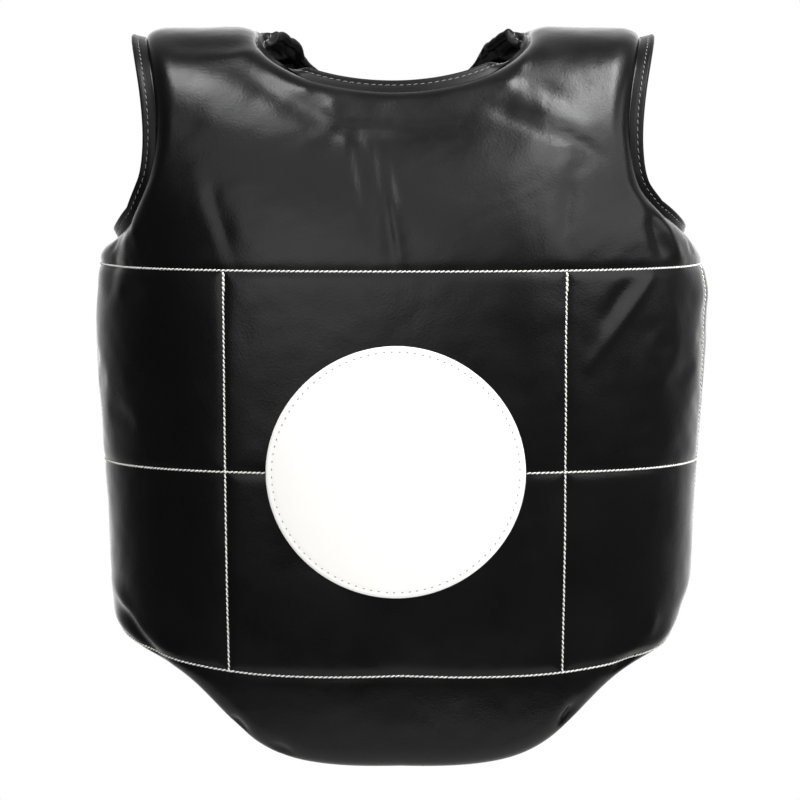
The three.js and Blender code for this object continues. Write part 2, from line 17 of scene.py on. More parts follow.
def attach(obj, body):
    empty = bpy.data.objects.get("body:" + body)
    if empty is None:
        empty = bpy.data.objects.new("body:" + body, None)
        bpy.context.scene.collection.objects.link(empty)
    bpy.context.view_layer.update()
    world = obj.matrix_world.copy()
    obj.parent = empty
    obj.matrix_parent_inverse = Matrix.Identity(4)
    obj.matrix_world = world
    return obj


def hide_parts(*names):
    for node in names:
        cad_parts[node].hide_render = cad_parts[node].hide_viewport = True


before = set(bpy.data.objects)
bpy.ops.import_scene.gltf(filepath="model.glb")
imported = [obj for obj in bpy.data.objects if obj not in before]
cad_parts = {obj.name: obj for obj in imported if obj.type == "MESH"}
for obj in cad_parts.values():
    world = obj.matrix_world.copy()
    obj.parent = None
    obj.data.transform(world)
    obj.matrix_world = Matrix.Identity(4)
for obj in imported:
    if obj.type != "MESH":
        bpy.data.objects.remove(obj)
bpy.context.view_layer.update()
MM = 0.001
print("solids in the frame:", ", ".join(sorted(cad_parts)))

# %% [markdown]
# ## Curves through a few sizes
# A pattern cutter draws an edge by marking a few points and bending a thin lath through them. A natural
# cubic spline is that lath. It could be a Bezier curve object, but a small function can be asked for
# any place along the edge, so the same curve serves the leather, the thread and the binding.

# %% Blends and splines
def mix(start, end, share):
    return start + (end - start) * share


def smooth_step(value, low, high):
    share = np.clip((value - low) / (high - low), 0, 1)
    return share * share * (3 - 2 * share)


def spline_through(knots, values):
    """A natural cubic spline as a function of arrays, level beyond its ends."""
    knots, values = np.asarray(knots, float), np.asarray(values, float)
    gaps, slopes = np.diff(knots), np.diff(values) / np.diff(knots)
    matrix, kinks = np.eye(len(knots)), np.zeros(len(knots))
    for i in range(1, len(knots) - 1):
        matrix[i, i - 1:i + 2] = gaps[i - 1], 2 * (gaps[i - 1] + gaps[i]), gaps[i]
        kinks[i] = 6 * (slopes[i] - slopes[i - 1])
    bend = np.linalg.solve(matrix, kinks)

    def curve(t):
        t = np.clip(t, knots[0], knots[-1])
        i = np.clip(np.searchsorted(knots, t) - 1, 0, len(gaps) - 1)
        b = (t - knots[i]) / gaps[i]
        a = 1 - b
        lift = ((a**3 - a) * bend[i] + (b**3 - b) * bend[i + 1]) * gaps[i] ** 2 / 6
        return a * values[i] + b * values[i + 1] + lift

    return curve


def spline_of(rows):
    """A spline through rows of (from, to)."""
    return spline_through(*np.array(sorted(rows), float).T)


print("half way between 2 and 6 is", mix(2, 6, 0.5))

# %% [markdown]
# ## The body form
# A vest is built on a torso form, and so is this one. A place on the form is (s, l): l runs along the
# side view, from the front hem (negative) over the shoulder ridge (zero) to the back hem, and s runs
# round the body from the middle line. Both are real lengths of leather, so a seam is drawn as it would
# be on the flat pattern.

# %% The form's side view and widths
SIDE_VIEW = np.array([  # y, z from the front hem over the ridge to the back hem
    (-96, -530), (-110, -470), (-120, -390), (-126, -300), (-128, -200), (-123, -130),
    (-101, -64), (-55, -15), (0, 0),
    (52, -15), (92, -64), (108, -130), (112, -200), (108, -300), (104, -390), (100, -470),
], float)
RIDGE_ROW = 8
HALF_WIDTH = [  # z, half the width there
    (-530, 180), (-390, 190), (-300, 195), (-190, 201), (-130, 200), (-64, 220), (0, 240),
]

side_l = np.concatenate([[0], np.cumsum(np.hypot(*np.diff(SIDE_VIEW, axis=0).T))])
side_l -= side_l[RIDGE_ROW]
side_y = spline_through(side_l, SIDE_VIEW[:, 0])
side_z = spline_through(side_l, SIDE_VIEW[:, 1])
half_width = spline_of(HALF_WIDTH)
front_run = np.linspace(side_l[0], 0, 3000)
back_run = np.linspace(0, side_l[-1], 3000)
front_heights = np.maximum.accumulate(side_z(front_run))
back_drops = np.maximum.accumulate(-side_z(back_run))


def front_l(z):
    return np.interp(z, front_heights, front_run)


def back_l(z):
    return np.interp(-np.asarray(z, float), back_drops, back_run)


print(f"leather runs {-side_l[0]:.0f} mm down the front and {side_l[-1]:.0f} mm down the back")

# %% [markdown]
# Across, the form is a rounded box, flatter than an ellipse. At the shoulders it opens out into two
# gently drooping straps. The cross sections are worked out once, every millimetre, and looked up
# afterwards.

# %% The form's cross sections
SQUARENESS = 2.4
SHOULDER_REACH = 150
SHOULDER_DROP = 9
SHOULDER_SHIFT = -4.5
BODY_SHIFT = 1.5
SHIFT_HEIGHTS = (-145, -100)
ANGLES = np.radians(np.linspace(0, 180, 361))
SHARES = np.linspace(0, 1, 721)


def body_share(l):
    return smooth_step(np.abs(l), 0, SHOULDER_REACH)


section_l = np.arange(side_l[0], side_l[-1], 1.0)
section_z = side_z(section_l)
opposite = np.where(section_l < 0, back_l(section_z), front_l(section_z))
near = mix(SHOULDER_DROP, np.abs(side_y(section_l)), body_share(section_l))[:, None]
far = mix(SHOULDER_DROP, np.abs(side_y(opposite)), body_share(section_l))[:, None]
ahead = np.where(np.cos(ANGLES) > 0, near, far)
wide = (np.abs(np.sin(ANGLES)) / half_width(section_z)[:, None]) ** SQUARENESS
deep = (np.abs(np.cos(ANGLES)) / ahead) ** SQUARENESS
radius = (wide + deep) ** (-1 / SQUARENESS)
section_x = radius * np.sin(ANGLES)
section_depth = near - radius * np.cos(ANGLES)
section_steps = np.hypot(np.diff(section_x, axis=1), np.diff(section_depth, axis=1))
section_s = np.pad(np.cumsum(section_steps, axis=1), ((0, 0), (1, 0)))
half_girth = section_s[:, -1]
even_x = np.array([np.interp(SHARES * s[-1], s, x) for s, x in zip(section_s, section_x)])
even_depth = np.array([np.interp(SHARES * s[-1], s, d) for s, d in zip(section_s, section_depth)])
print(f"half the girth is {half_girth[len(half_girth) // 4]:.0f} mm at the belly")

# %% From a place on the form to a point in space
NORMAL_STEP = 3


def form_point(s, l):
    s, l = np.broadcast_arrays(np.asarray(s, float), np.asarray(l, float))
    row = np.clip(l - section_l[0], 0, len(section_l) - 1.001)
    i = row.astype(int)
    a = row - i
    reach = np.abs(s) / mix(half_girth[i], half_girth[i + 1], a)
    column = np.clip(reach, 0, 1) * (len(SHARES) - 1.001)
    j = column.astype(int)
    b = column - j

    def looked_up(table):
        return mix(mix(table[i, j], table[i, j + 1], b), mix(table[i + 1, j], table[i + 1, j + 1], b), a)

    depth = looked_up(even_depth)
    turn = math.pi / 2 * (1 + np.sign(l) * body_share(l))
    aside = mix(BODY_SHIFT, SHOULDER_SHIFT, smooth_step(side_z(l), *SHIFT_HEIGHTS))
    x = looked_up(even_x) * np.sign(s) + aside
    return np.stack([x, side_y(l) + depth * np.cos(turn), side_z(l) - depth * np.sin(turn)], axis=-1)


def unit(vectors):
    return vectors / np.linalg.norm(vectors, axis=-1, keepdims=True)


def form_normal(s, l):
    around = form_point(s + NORMAL_STEP, l) - form_point(s - NORMAL_STEP, l)
    along = form_point(s, l + NORMAL_STEP) - form_point(s, l - NORMAL_STEP)
    return unit(np.cross(around, along))


def raised(s, l, height):
    return form_point(s, l) + form_normal(s, l) * np.asarray(height)[..., None]


print("the middle of the belly is at", form_point(0, front_l(-300)).round(1))

# %% [markdown]
# ## The cut of the front
# The front is one thick panel. It ends in a rounded flap below, wraps round the sides as wings, and
# runs over the shoulders as straps. Its edges are drawn as splines, in the order that a maker would
# mark them on the leather. One hip is sewn a little higher than the other, as hand work often is.

# %% Edges of the front
WING_END = 345
STRAP_END = 62
hem_curve = spline_of([(0, -519), (60, -517), (108, -498), (148, -461), (190, -443), (235, -433),
                       (290, -428), (WING_END, -428)])
lap_curve = spline_of([(0, -449), (120, -448), (160, -443), (195, -437), (235, -428), (290, -423),
                       (WING_END, -423)])
CHEST_Z = -160
BELLY_Z = -303
ARM_CORNER_S = 198
ARM_CORNER_Z = -118
WING_TOP_Z = -131
underarm_curve = spline_of([(ARM_CORNER_S, ARM_CORNER_Z), (220, -129), (245, -137), (275, -140), (310, -137),
                            (WING_END, WING_TOP_Z)])
front_arm_s = spline_of([(ARM_CORNER_Z, ARM_CORNER_S), (-100, 182), (-80, 175), (-50, 173),
                         (-20, 178), (0, 186)])
wing_top_l = back_l(WING_TOP_Z)
HIP_LIFT = 6


def hip_lift(s):
    """One hip is sewn a little higher than the other."""
    return HIP_LIFT * smooth_step(s, 185, 240) * smooth_step(s, WING_END, 270)


def hem_z(s):
    return hem_curve(np.abs(s)) + hip_lift(s)


def lap_z(s):
    return lap_curve(np.abs(s)) + hip_lift(s)


def underarm_z(s):
    return underarm_curve(np.abs(s))


def wing_end_s(l):
    return np.interp(l, section_l, half_girth) - WING_END


back_arm_s = spline_of([(0, 186), (-20, 181), (-60, 172), (-100, 174),
                        (WING_TOP_Z, wing_end_s(wing_top_l))])
NECK_HALF = 99
NECK_DEPTH = 66
NECK_BOTTOM_Z = -140
back_neck_s = spline_of([(0, 97), (-4, 86), (-12, 73), (-30, 57), (-60, 41), (-100, 27),
                         (NECK_BOTTOM_Z, 22)])
arm_corner_l = front_l(ARM_CORNER_Z)
neck_corner_l = front_l(-3)
UPRIGHT_LEFT = 119
UPRIGHT_RIGHT = 113.5
SIDE_UPRIGHT = 260


def upright_of(column):
    return np.where(np.asarray(column) < 0, UPRIGHT_LEFT, UPRIGHT_RIGHT)


def arm_s(l):
    return np.where(l < 0, front_arm_s(side_z(l)), back_arm_s(side_z(l)))


def neck_s(l, upright):
    on_front = mix(upright, NECK_HALF, smooth_step(l, arm_corner_l, neck_corner_l))
    return np.where(l < 0, on_front, mix(NECK_HALF, back_neck_s(side_z(l)), smooth_step(l, 0, 24)))


def neckline_l(across):
    return neck_corner_l - NECK_DEPTH * np.sqrt(np.maximum(0, 1 - across**2))


print(f"neckline {neckline_l(0):.0f} to {neck_corner_l:.0f} mm before the ridge")

# %% [markdown]
# ## A grid on the leather
# The mesh could come from a remesh, but then no row of faces would follow a seam. A laid-out grid puts
# its rows and columns on the sewn lines. They are crowded there, where the leather bends most, and
# every second one makes a coarser grid of the same cut for the inner side.

# %% Rows and columns of the front
CROWDING = 0.75
COLUMN_COUNTS = (48, 40, 28, 40)


def graded(count, crowding=CROWDING):
    even = np.linspace(0, 1, count + 1)
    return mix(even, (1 - np.cos(math.pi * even)) / 2, crowding)


def in_bands(edges, counts, crowding=CROWDING):
    """Places from the first edge to the last, each band between two edges in its number of steps."""
    bands = zip(edges, edges[1:], counts)
    steps = [mix(low, high, graded(count, crowding))[1:] for low, high, count in bands]
    return np.concatenate([[edges[0]], *steps])


def side_columns(upright, crowding):
    return in_bands((0, upright, ARM_CORNER_S, SIDE_UPRIGHT, WING_END), COLUMN_COUNTS, crowding)


def level(z):
    return lambda s: np.full_like(s, z)


ROW_BANDS = [(hem_z, lap_z, 36), (lap_z, level(BELLY_Z), 56), (level(BELLY_Z), level(CHEST_Z), 56),
             (level(CHEST_Z), underarm_z, 24)]
CHEST_ROWS = 40
STRAP_ROWS = 40
print("columns from the middle to the wing's end:", len(side_columns(UPRIGHT_RIGHT, CROWDING)))

# %% The grid and its filled cells
def lay_grid(crowding):
    """Rows and columns of (s, l) over the whole front."""
    left = -side_columns(UPRIGHT_LEFT, crowding)[:0:-1]
    columns = np.concatenate([left, side_columns(UPRIGHT_RIGHT, crowding)])
    reach = np.abs(columns)
    upright = upright_of(columns)
    to_neck = np.minimum(reach / upright, 1)
    to_arm = np.maximum(0, (reach - upright) / (ARM_CORNER_S - upright))

    def gathered(l):
        neck = neck_s(l, upright)
        return np.sign(columns) * (to_neck * neck + to_arm * (arm_s(l) - neck)), l

    rows = [(columns, front_l(hem_z(columns)))]
    for low, high, count in ROW_BANDS:
        heights = [mix(low(columns), high(columns), share) for share in graded(count, crowding)[1:]]
        rows += [(columns, front_l(z)) for z in heights]
    neckline = neckline_l(to_neck)
    rows += [gathered(mix(arm_corner_l, neckline, share)) for share in graded(CHEST_ROWS, crowding)[1:]]
    strap_l = mix(neck_corner_l, STRAP_END, graded(STRAP_ROWS, crowding)[1:])
    rows += [gathered(np.full_like(columns, l)) for l in strap_l]
    return np.array(rows).transpose(1, 0, 2)


def filled_cells(columns):
    row_counts = [count for _, _, count in ROW_BANDS] + [CHEST_ROWS, STRAP_ROWS]
    underarm_row, neckline_row = sum(row_counts[:-2]), sum(row_counts[:-1])
    row_number = np.arange(sum(row_counts))[:, None]
    middle = (columns[:-1] + columns[1:]) / 2
    filled = (row_number < underarm_row) | (np.abs(middle) < ARM_CORNER_S)
    return filled & ((row_number < neckline_row) | (np.abs(middle) > upright_of(middle))), row_counts


front_s, front_ls = lay_grid(CROWDING)
filled, row_counts = filled_cells(front_s[0])
print(f"front grid: {front_s.shape[0]} rows, {front_s.shape[1]} columns, {filled.sum()} cells")

# %% [markdown]
# ## From grids to solid pieces
# A sewn piece has an outer side, an inner side and a narrow wall round its edge. One function finds the
# edge of any cut, and one makes the closed mesh. The inner side takes every second point only, so each
# wall face spans two outer edges and one inner edge.

# %% The edge of a cut and a closed piece
def rim_edges(cells):
    """Grid points from which and to which the edge of the filled cells runs, the cells on its left."""
    around = np.pad(cells, 1)
    below, above = around[:-1, 1:-1], around[1:, 1:-1]
    left, right = around[1:-1, :-1], around[1:-1, 1:]
    runs = [(above & ~below, (0, 0), (0, 1)), (below & ~above, (0, 1), (0, 0)),
            (right & ~left, (1, 0), (0, 0)), (left & ~right, (0, 0), (1, 0))]
    starts = [np.argwhere(where) + start for where, start, _ in runs]
    ends = [np.argwhere(where) + end for where, _, end in runs]
    return np.concatenate(starts), np.concatenate(ends)


def numbered(cells, first):
    """The mesh number of each grid point that a filled cell uses, and which points those are."""
    around = np.pad(cells, 1)
    used = around[1:, 1:] | around[1:, :-1] | around[:-1, 1:] | around[:-1, :-1]
    numbers = np.full(used.shape, -1)
    numbers[used] = first + np.arange(used.sum())
    return numbers, used


def cell_corners(numbers, cells):
    corners = [numbers[:-1, :-1], numbers[:-1, 1:], numbers[1:, 1:], numbers[1:, :-1]]
    return np.stack([corner[cells] for corner in corners], axis=-1)


def new_piece(name, points, faces, finish, sharp_angle=50):
    mesh = bpy.data.meshes.new(name)
    mesh.from_pydata(np.asarray(points).reshape(-1, 3) * MM, [], [list(map(int, face)) for face in faces])
    mesh.polygons.foreach_set("use_smooth", np.ones(len(mesh.polygons), bool))
    mesh.set_sharp_from_angle(angle=math.radians(sharp_angle))
    mesh.materials.append(finish)
    piece = bpy.data.objects.new(name, mesh)
    bpy.context.scene.collection.objects.link(piece)
    print(f"{name}: {len(mesh.vertices)} points, {len(mesh.polygons)} faces")
    return piece


def sewn_piece(name, outer, inner, cells, finish):
    """A closed piece: outer points on the grid, inner points on every second row and column."""
    coarse = cells[::2, ::2]
    outer_numbers, outer_used = numbered(cells, 0)
    inner_numbers, inner_used = numbered(coarse, int(outer_used.sum()))
    starts, ends = rim_edges(coarse)
    halfway = starts + ends
    walls = np.stack([
        outer_numbers[tuple(2 * ends.T)], outer_numbers[tuple(halfway.T)],
        outer_numbers[tuple(2 * starts.T)], inner_numbers[tuple(starts.T)],
        inner_numbers[tuple(ends.T)],
    ], axis=-1)
    faces = [*cell_corners(outer_numbers, cells), *cell_corners(inner_numbers, coarse)[:, ::-1], *walls]
    return new_piece(name, np.concatenate([outer[outer_used], inner[inner_used]]), faces, finish)


print("edges round the front:", len(rim_edges(filled)[0]))

# %% [markdown]
# ## Materials
# Each finish starts from what the real material is. One function turns the sRGB colours that a screen
# shows into the linear colours that light follows, and one function adds a node with its settings and
# links.

# %% Colours and nodes
def linear(hex_colour):
    parts = [int(hex_colour[i:i + 2], 16) / 255 for i in (1, 3, 5)]
    return [part / 12.92 if part <= 0.04045 else ((part + 0.055) / 1.055) ** 2.4 for part in parts] + [1.0]


def add_node(tree, kind, inputs=None, **settings):
    node = tree.nodes.new(kind)
    for name, value in settings.items():
        setattr(node, name, value)
    for name, value in (inputs or {}).items():
        if isinstance(value, bpy.types.NodeSocket):
            tree.links.new(value, node.inputs[name])
        else:
            node.inputs[name].default_value = value
    return node


def new_material(name):
    material = bpy.data.materials.new(name)
    material.use_nodes = True
    tree = material.node_tree
    return material, tree, tree.nodes["Principled BSDF"]


def per_metre(size_mm):
    """Texture scale that repeats about once in a real size."""
    return 1 / (size_mm * MM)


print("a mid grey of #808080 is", round(linear("#808080")[0], 3), "in linear light")

# %% [markdown]
# The black cover is polyurethane-coated synthetic leather. A roller presses a pebble grain into its
# coating, and the coating dries to a semi-gloss. The eye gets a deep black that lights up only where a
# lamp is mirrored, in a highlight with a soft, slightly mottled edge. Real grain is about 0.5 mm
# across, finer than a pixel of the photo, so it is drawn at 1.4 mm here, as coarse as it needs to be to
# break up the highlights.

# %% Black synthetic leather, roller embossed
GRAIN_MM = 1.4
MOTTLE_MM = 45


def embossed_leather(name, colour, roughness, grain_mm, grain_depth_mm, gloss, coat):
    material, tree, shader = new_material(name)
    place = add_node(tree, "ShaderNodeTexCoord").outputs["Object"]
    pebbles = add_node(tree, "ShaderNodeTexVoronoi", {"Vector": place, "Scale": per_metre(grain_mm)},
                       feature="SMOOTH_F1")
    creases = add_node(tree, "ShaderNodeTexNoise", {
        "Vector": place, "Scale": per_metre(grain_mm * 4), "Detail": 6.0, "Roughness": 0.62})
    relief = add_node(tree, "ShaderNodeMix", {
        "Factor": 0.6, "A": pebbles.outputs["Distance"], "B": creases.outputs["Fac"]})
    bump = add_node(tree, "ShaderNodeBump", {
        "Strength": 0.55, "Distance": grain_depth_mm * MM, "Height": relief.outputs["Result"]})
    mottle = add_node(tree, "ShaderNodeTexNoise", {
        "Vector": place, "Scale": per_metre(MOTTLE_MM), "Detail": 4.0})
    rubbed = add_node(tree, "ShaderNodeMapRange", {
        "Value": mottle.outputs["Fac"], "From Min": 0.3, "From Max": 0.7,
        "To Min": roughness - 0.05, "To Max": roughness + 0.06})
    shader.inputs["Base Color"].default_value = linear(colour)
    shader.inputs["IOR"].default_value = 1.5
    shader.inputs["Specular IOR Level"].default_value = gloss
    shader.inputs["Coat Weight"].default_value = coat
    shader.inputs["Coat Roughness"].default_value = 0.22
    tree.links.new(rubbed.outputs["Result"], shader.inputs["Roughness"])
    tree.links.new(bump.outputs["Normal"], shader.inputs["Normal"])
    return material


black_leather = embossed_leather("black_synthetic_leather_embossed", "#060607", roughness=0.29,
                                 grain_mm=GRAIN_MM, grain_depth_mm=0.3, gloss=0.18, coat=0.04)
binding_leather = embossed_leather("black_binding_leather_folded", "#09090a", roughness=0.4,
                                   grain_mm=GRAIN_MM * 0.8, grain_depth_mm=0.14, gloss=0.13, coat=0.0)
print("finishes:", black_leather.name, binding_leather.name)

# %% [markdown]
# The patch is the same kind of coated leather in white. White paint in the coating scatters light, so
# it looks even and bright, with a low gloss. The thread is polyester sewing thread, spun from fine
# filaments and twisted from two plies: bright, a little silky, never glossy. The strap is woven from
# covered rubber and textured nylon, which gives a matt black with soft ribs.

# %% White leather, thread and webbing
white_leather = embossed_leather("white_synthetic_leather_coated", "#e0dfdd", roughness=0.48,
                                 grain_mm=GRAIN_MM, grain_depth_mm=0.06, gloss=0.5, coat=0.0)


def spun_fibre(name, colour, roughness, sheen, fibre_mm):
    material, tree, shader = new_material(name)
    place = add_node(tree, "ShaderNodeTexCoord").outputs["Object"]
    fibres = add_node(tree, "ShaderNodeTexNoise", {
        "Vector": place, "Scale": per_metre(fibre_mm), "Detail": 3.0})
    bump = add_node(tree, "ShaderNodeBump", {
        "Strength": 0.4, "Distance": fibre_mm * 0.3 * MM, "Height": fibres.outputs["Fac"]})
    dark = [0.82 * part for part in linear(colour)[:3]] + [1.0]
    shade = add_node(tree, "ShaderNodeMix", {"Factor": fibres.outputs["Fac"]}, data_type="RGBA")
    shade.inputs[6].default_value = dark
    shade.inputs[7].default_value = linear(colour)
    tree.links.new(shade.outputs[2], shader.inputs["Base Color"])
    tree.links.new(bump.outputs["Normal"], shader.inputs["Normal"])
    shader.inputs["Roughness"].default_value = roughness
    shader.inputs["IOR"].default_value = 1.53
    shader.inputs["Sheen Weight"].default_value = sheen
    return material


white_thread = spun_fibre("white_polyester_thread_twisted", "#dad8d3",
                          roughness=0.6, sheen=0.2, fibre_mm=0.3)
# Grey thread for the bindings and the strap. On the patch its grey is painted shade, the shadow in each
# needle hole.
grey_thread_and_hole_shade = spun_fibre("grey_polyester_thread_twisted", "#6c6c70",
                         roughness=0.55, sheen=0.2, fibre_mm=0.3)
black_webbing = spun_fibre("black_elastic_webbing_woven", "#141416",
                           roughness=0.8, sheen=0.35, fibre_mm=0.5)
print("finishes:", white_leather.name, white_thread.name, grey_thread_and_hole_shade.name, black_webbing.name)

# %% [markdown]
# ## Padding
# Foam fills the front to about 27 mm and is squeezed flat at the edge, where the layers are sewn
# together. From that edge it swells up in a quarter of an ellipse. Sewn lines pull it in again. How far
# a point is from an edge or a seam decides both, so the cell below builds a fast search tree over
# points along those lines.

# %% Distance to a line of points
LINE_STEP = 0.5


def distance_to(line_points):
    """A function that gives each point's distance to the nearest of many points."""
    tree = KDTree(len(line_points))
    for number, point in enumerate(line_points):
        tree.insert(point, number)
    tree.balance()

    def measure(points):
        flat = [tree.find(point)[2] for point in points.reshape(-1, 3)]
        return np.array(flat).reshape(points.shape[:-1])

    return measure


def rim_points(points, cells, between=4):
    starts, ends = (points[tuple(side.T)] for side in rim_edges(cells))
    return np.concatenate([mix(starts, ends, share) for share in np.arange(between) / between])


front_form = form_point(front_s, front_ls)
rim_distance = distance_to(rim_points(front_form, filled))
print(f"the front is at most {rim_distance(front_form[::9, ::9]).max():.0f} mm from its edge")

# %% [markdown]
# The quilting is three lines across and four upright lines, sewn with one machine through cover, foam
# and back. The belly line stops at the patch, which hides it.

# %% Lines of the quilting
PATCH_S = -3.5
PATCH_Z = -302
PATCH_RADIUS = 88
PATCH_TALL = 1.028
OVERSEW = 3
patch_l = front_l(PATCH_Z)


def across_line(start, end, z_of):
    s = np.linspace(start, end, int(abs(end - start) / LINE_STEP))
    return s, front_l(z_of(s))


def upright_line(top_s, bottom_s):
    bottom_z = lap_z(bottom_s) - OVERSEW
    share = np.linspace(0, 1, int((CHEST_Z - bottom_z) / LINE_STEP))
    return mix(top_s, bottom_s, share), front_l(mix(CHEST_Z, bottom_z, share))


QUILT_LINES = {
    "chest": across_line(-WING_END, WING_END, level(CHEST_Z)),
    "belly left": across_line(-WING_END, PATCH_S - PATCH_RADIUS, level(BELLY_Z)),
    "belly right": across_line(PATCH_S + PATCH_RADIUS, WING_END, level(BELLY_Z)),
    "lap": across_line(-WING_END, WING_END, lap_z),
    "front left": upright_line(-121.3, -118),
    "front right": upright_line(113, 110.5),
    "side left": upright_line(-SIDE_UPRIGHT, -SIDE_UPRIGHT),
    "side right": upright_line(SIDE_UPRIGHT - 20, SIDE_UPRIGHT - 14),
}
seam_distance = distance_to(np.concatenate([form_point(*line) for line in QUILT_LINES.values()]))
print("quilting lines:", ", ".join(QUILT_LINES))

# %% [markdown]
# Worn leather keeps folds: from the arm corners, over the shoulders, down the breast. They could be
# sculpted by hand, but a short table can be read and corrected. Each row is a bent run seen from the
# front, with how far it reaches to each side and how deep it presses in. A negative depth is a ridge.

# %% Folds of the front
FOLDS = [  # start x, z, middle x, z, end x, z, reach, depth
    (68, -42, 86, -49, 108, -57, 5, 1.3),
    (97, -45, 120, -51, 148, -62, 7, -1.0),
    (104, -57, 126, -64, 150, -77, 4.5, 1.3),
    (88, -24, 103, -27, 119, -32, 5, 0.9),
    (77, -36, 103, -38, 129, -46, 9, -0.6),
    (85, -14, 90, -7, 94, 2, 5, -1.4),
    (73, -25, 79, -23, 86, -22, 4, -1.3),
    (126, -90, 122, -111, 121, -136, 6, 1.2),
    (114, -100, 113, -121, 115, -140, 9, -0.3),
    (125, -87, 134, -82, 145, -78, 5, 0.8),
    (184, -118, 189, -136, 193, -152, 5, 2.4),
    (194, -122, 201, -140, 208, -157, 4, -1.8),
    (226, -150, 229, -170, 227, -192, 9, -3.0),
    (-128, -7, -85, -32, -47, -53, 10, 2.0),
    (-176, 5, -140, 4, -101, 8, 7, 1.6),
    (-141, -2, -121, -4, -104, 1, 5, -1.4),
    (-97, -5, -88, -10, -78, -15, 6, -0.6),
    (-72, -27, -68, -29, -63, -31, 5, -0.8),
    (-51, -35, -49, -41, -51, -47, 7, -1.2),
    (-44, -56, 7, -57, 60, -53, 4, 0.8),
    (-48, -54, -34, -56, -16, -55, 4, 1.1),
    (-41, -56, -37, -80, -31, -111, 6, -1.2),
    (-25, -56, -19, -84, -12, -118, 6, -1.1),
    (-10, -76, -4, -116, 2, -157, 4.5, -1.4),
    (-29, -71, -25, -100, -19, -136, 6, 1.2),
    (-13, -80, -9, -118, -3, -154, 5, 1.4),
    (-153, -71, -143, -104, -128, -156, 8, -0.5),
    (-138, -91, -131, -118, -118, -153, 7, 0.9),
    (-123, -99, -107, -94, -87, -94, 6, -0.6),
    (-211, -119, -218, -141, -223, -171, 4, -2.2),
    (-203, -121, -209, -146, -214, -180, 6, 2.4),
    (186, -160, 169, -186, 137, -228, 3.8, -1.5),
    (171, -163, 158, -182, 146, -200, 6, 1.6),
    (200, -178, 203, -206, 201, -238, 6, -0.6),
    (-129, -170, -127, -225, -124, -285, 6, -0.6),
    (-212, -396, -200, -415, -184, -436, 4.5, -2.5),
    (-206, -411, -196, -428, -178, -448, 6, 5.0),
    (180, -432, 185, -423, 188, -409, 5, -1.6),
    (158, -453, 168, -448, 180, -444, 4, 3.5),
    (-124, -487, -118, -493, -112, -500, 4, 4.5),
    (-92, -506, -86, -510, -79, -514, 4, 4.0),
    (129, -477, 124, -485, 118, -493, 4, 4.5),
]
FOLD_POINTS = 14


def fold_relief(points):
    """How far the folds press in at points, seen from the front."""
    relief = np.zeros(points.shape[:-1])
    t = np.linspace(0, 1, FOLD_POINTS)[:, None]
    for x0, z0, x1, z1, x2, z2, width, depth in FOLDS:
        bend = 2 * np.array([(x1, z1)]) - np.array([(x0 + x2, z0 + z2)]) / 2
        run = (1 - t) ** 2 * np.array([(x0, z0)]) + 2 * t * (1 - t) * bend + t**2 * np.array([(x2, z2)])
        nearest = np.full(relief.shape, np.inf)
        share = np.zeros(relief.shape)
        for k in range(FOLD_POINTS - 1):
            step = run[k + 1] - run[k]
            along = np.clip(((points[..., [0, 2]] - run[k]) @ step) / (step @ step), 0, 1)
            gap = np.linalg.norm(points[..., [0, 2]] - run[k] - along[..., None] * step, axis=-1)
            share = np.where(gap < nearest, (k + along) / (FOLD_POINTS - 1), share)
            nearest = np.minimum(gap, nearest)
        fade = smooth_step(share, -0.2, 0.35) * smooth_step(share, 1.2, 0.65)
        relief += depth * fade * np.exp(-((nearest / width) ** 1.7))
    return relief * smooth_step(points[..., 1], 30, -10)


print(len(FOLDS), "folds, the deepest", max(fold[-1] for fold in FOLDS), "mm")

# %% [markdown]
# Now the outer side's height over the form: full padding, less the sewn channels, plus a little
# unevenness that no hand sewn pad is without, all rolled down to the sewn edge. The padding is thinner
# under the arms, and at one hip where it is crushed. The folds are worked out here too, and pressed in
# after the cover has settled.

# %% Height of the front over the form
FLANGE = 3.4
FLANGE_SEAT = 10
SEAT_FADE = 45
FRONT_ROLL = 16
RIM_FOLD = 0.4
GROOVE_WIDTH = 2.6
GROOVE_DEPTH = 2.2
CHANNEL_DEPTH = 1.0
CHANNEL_REACH = 4.0
UNDERARM_THIN = 0.15
UNDERARM_REACH = 48
HIP_THIN = 0.28
HIP_REACH = 36
full_padding = spline_of([(-530, 25), (-390, 28), (-200, 27), (-64, 24), (0, 18)])


def roll_share(distance, roll):
    return np.sqrt(1 - (1 - np.clip(distance / roll, 0, 1)) ** 2)


def unevenness(points, size, seed):
    aside = Vector((seed, seed, seed))
    flat = [noise.noise(Vector(point) / size + aside) for point in points.reshape(-1, 3)]
    return np.array(flat).reshape(points.shape[:-1])


def side_fill(s, l):
    """Share of the padding: less under the arms, which have to swing, and at one crushed hip."""
    by_arm = smooth_step(np.abs(s), ARM_CORNER_S - 14, ARM_CORNER_S + 25)
    underarm = UNDERARM_THIN * by_arm * smooth_step(underarm_z(s) - side_z(l), UNDERARM_REACH, 0)
    hip = HIP_THIN * smooth_step(s, 185, 235) * smooth_step(side_z(l) - hem_z(s), HIP_REACH, 4)
    return 1 - underarm - np.where(l < 0, hip, 0)


def patch_cover(s, l):
    """1 under the patch, 0 a little outside it."""
    from_middle = np.hypot(s - PATCH_S, (l - patch_l) / PATCH_TALL)
    return smooth_step(from_middle, PATCH_RADIUS + 8, PATCH_RADIUS - 2)


def seat(s, l):
    before_wing_end = np.where(l < 0, smooth_step(WING_END - np.abs(s), 0, SEAT_FADE), 1)
    return FLANGE_SEAT * before_wing_end * smooth_step(STRAP_END - l, 0, SEAT_FADE)


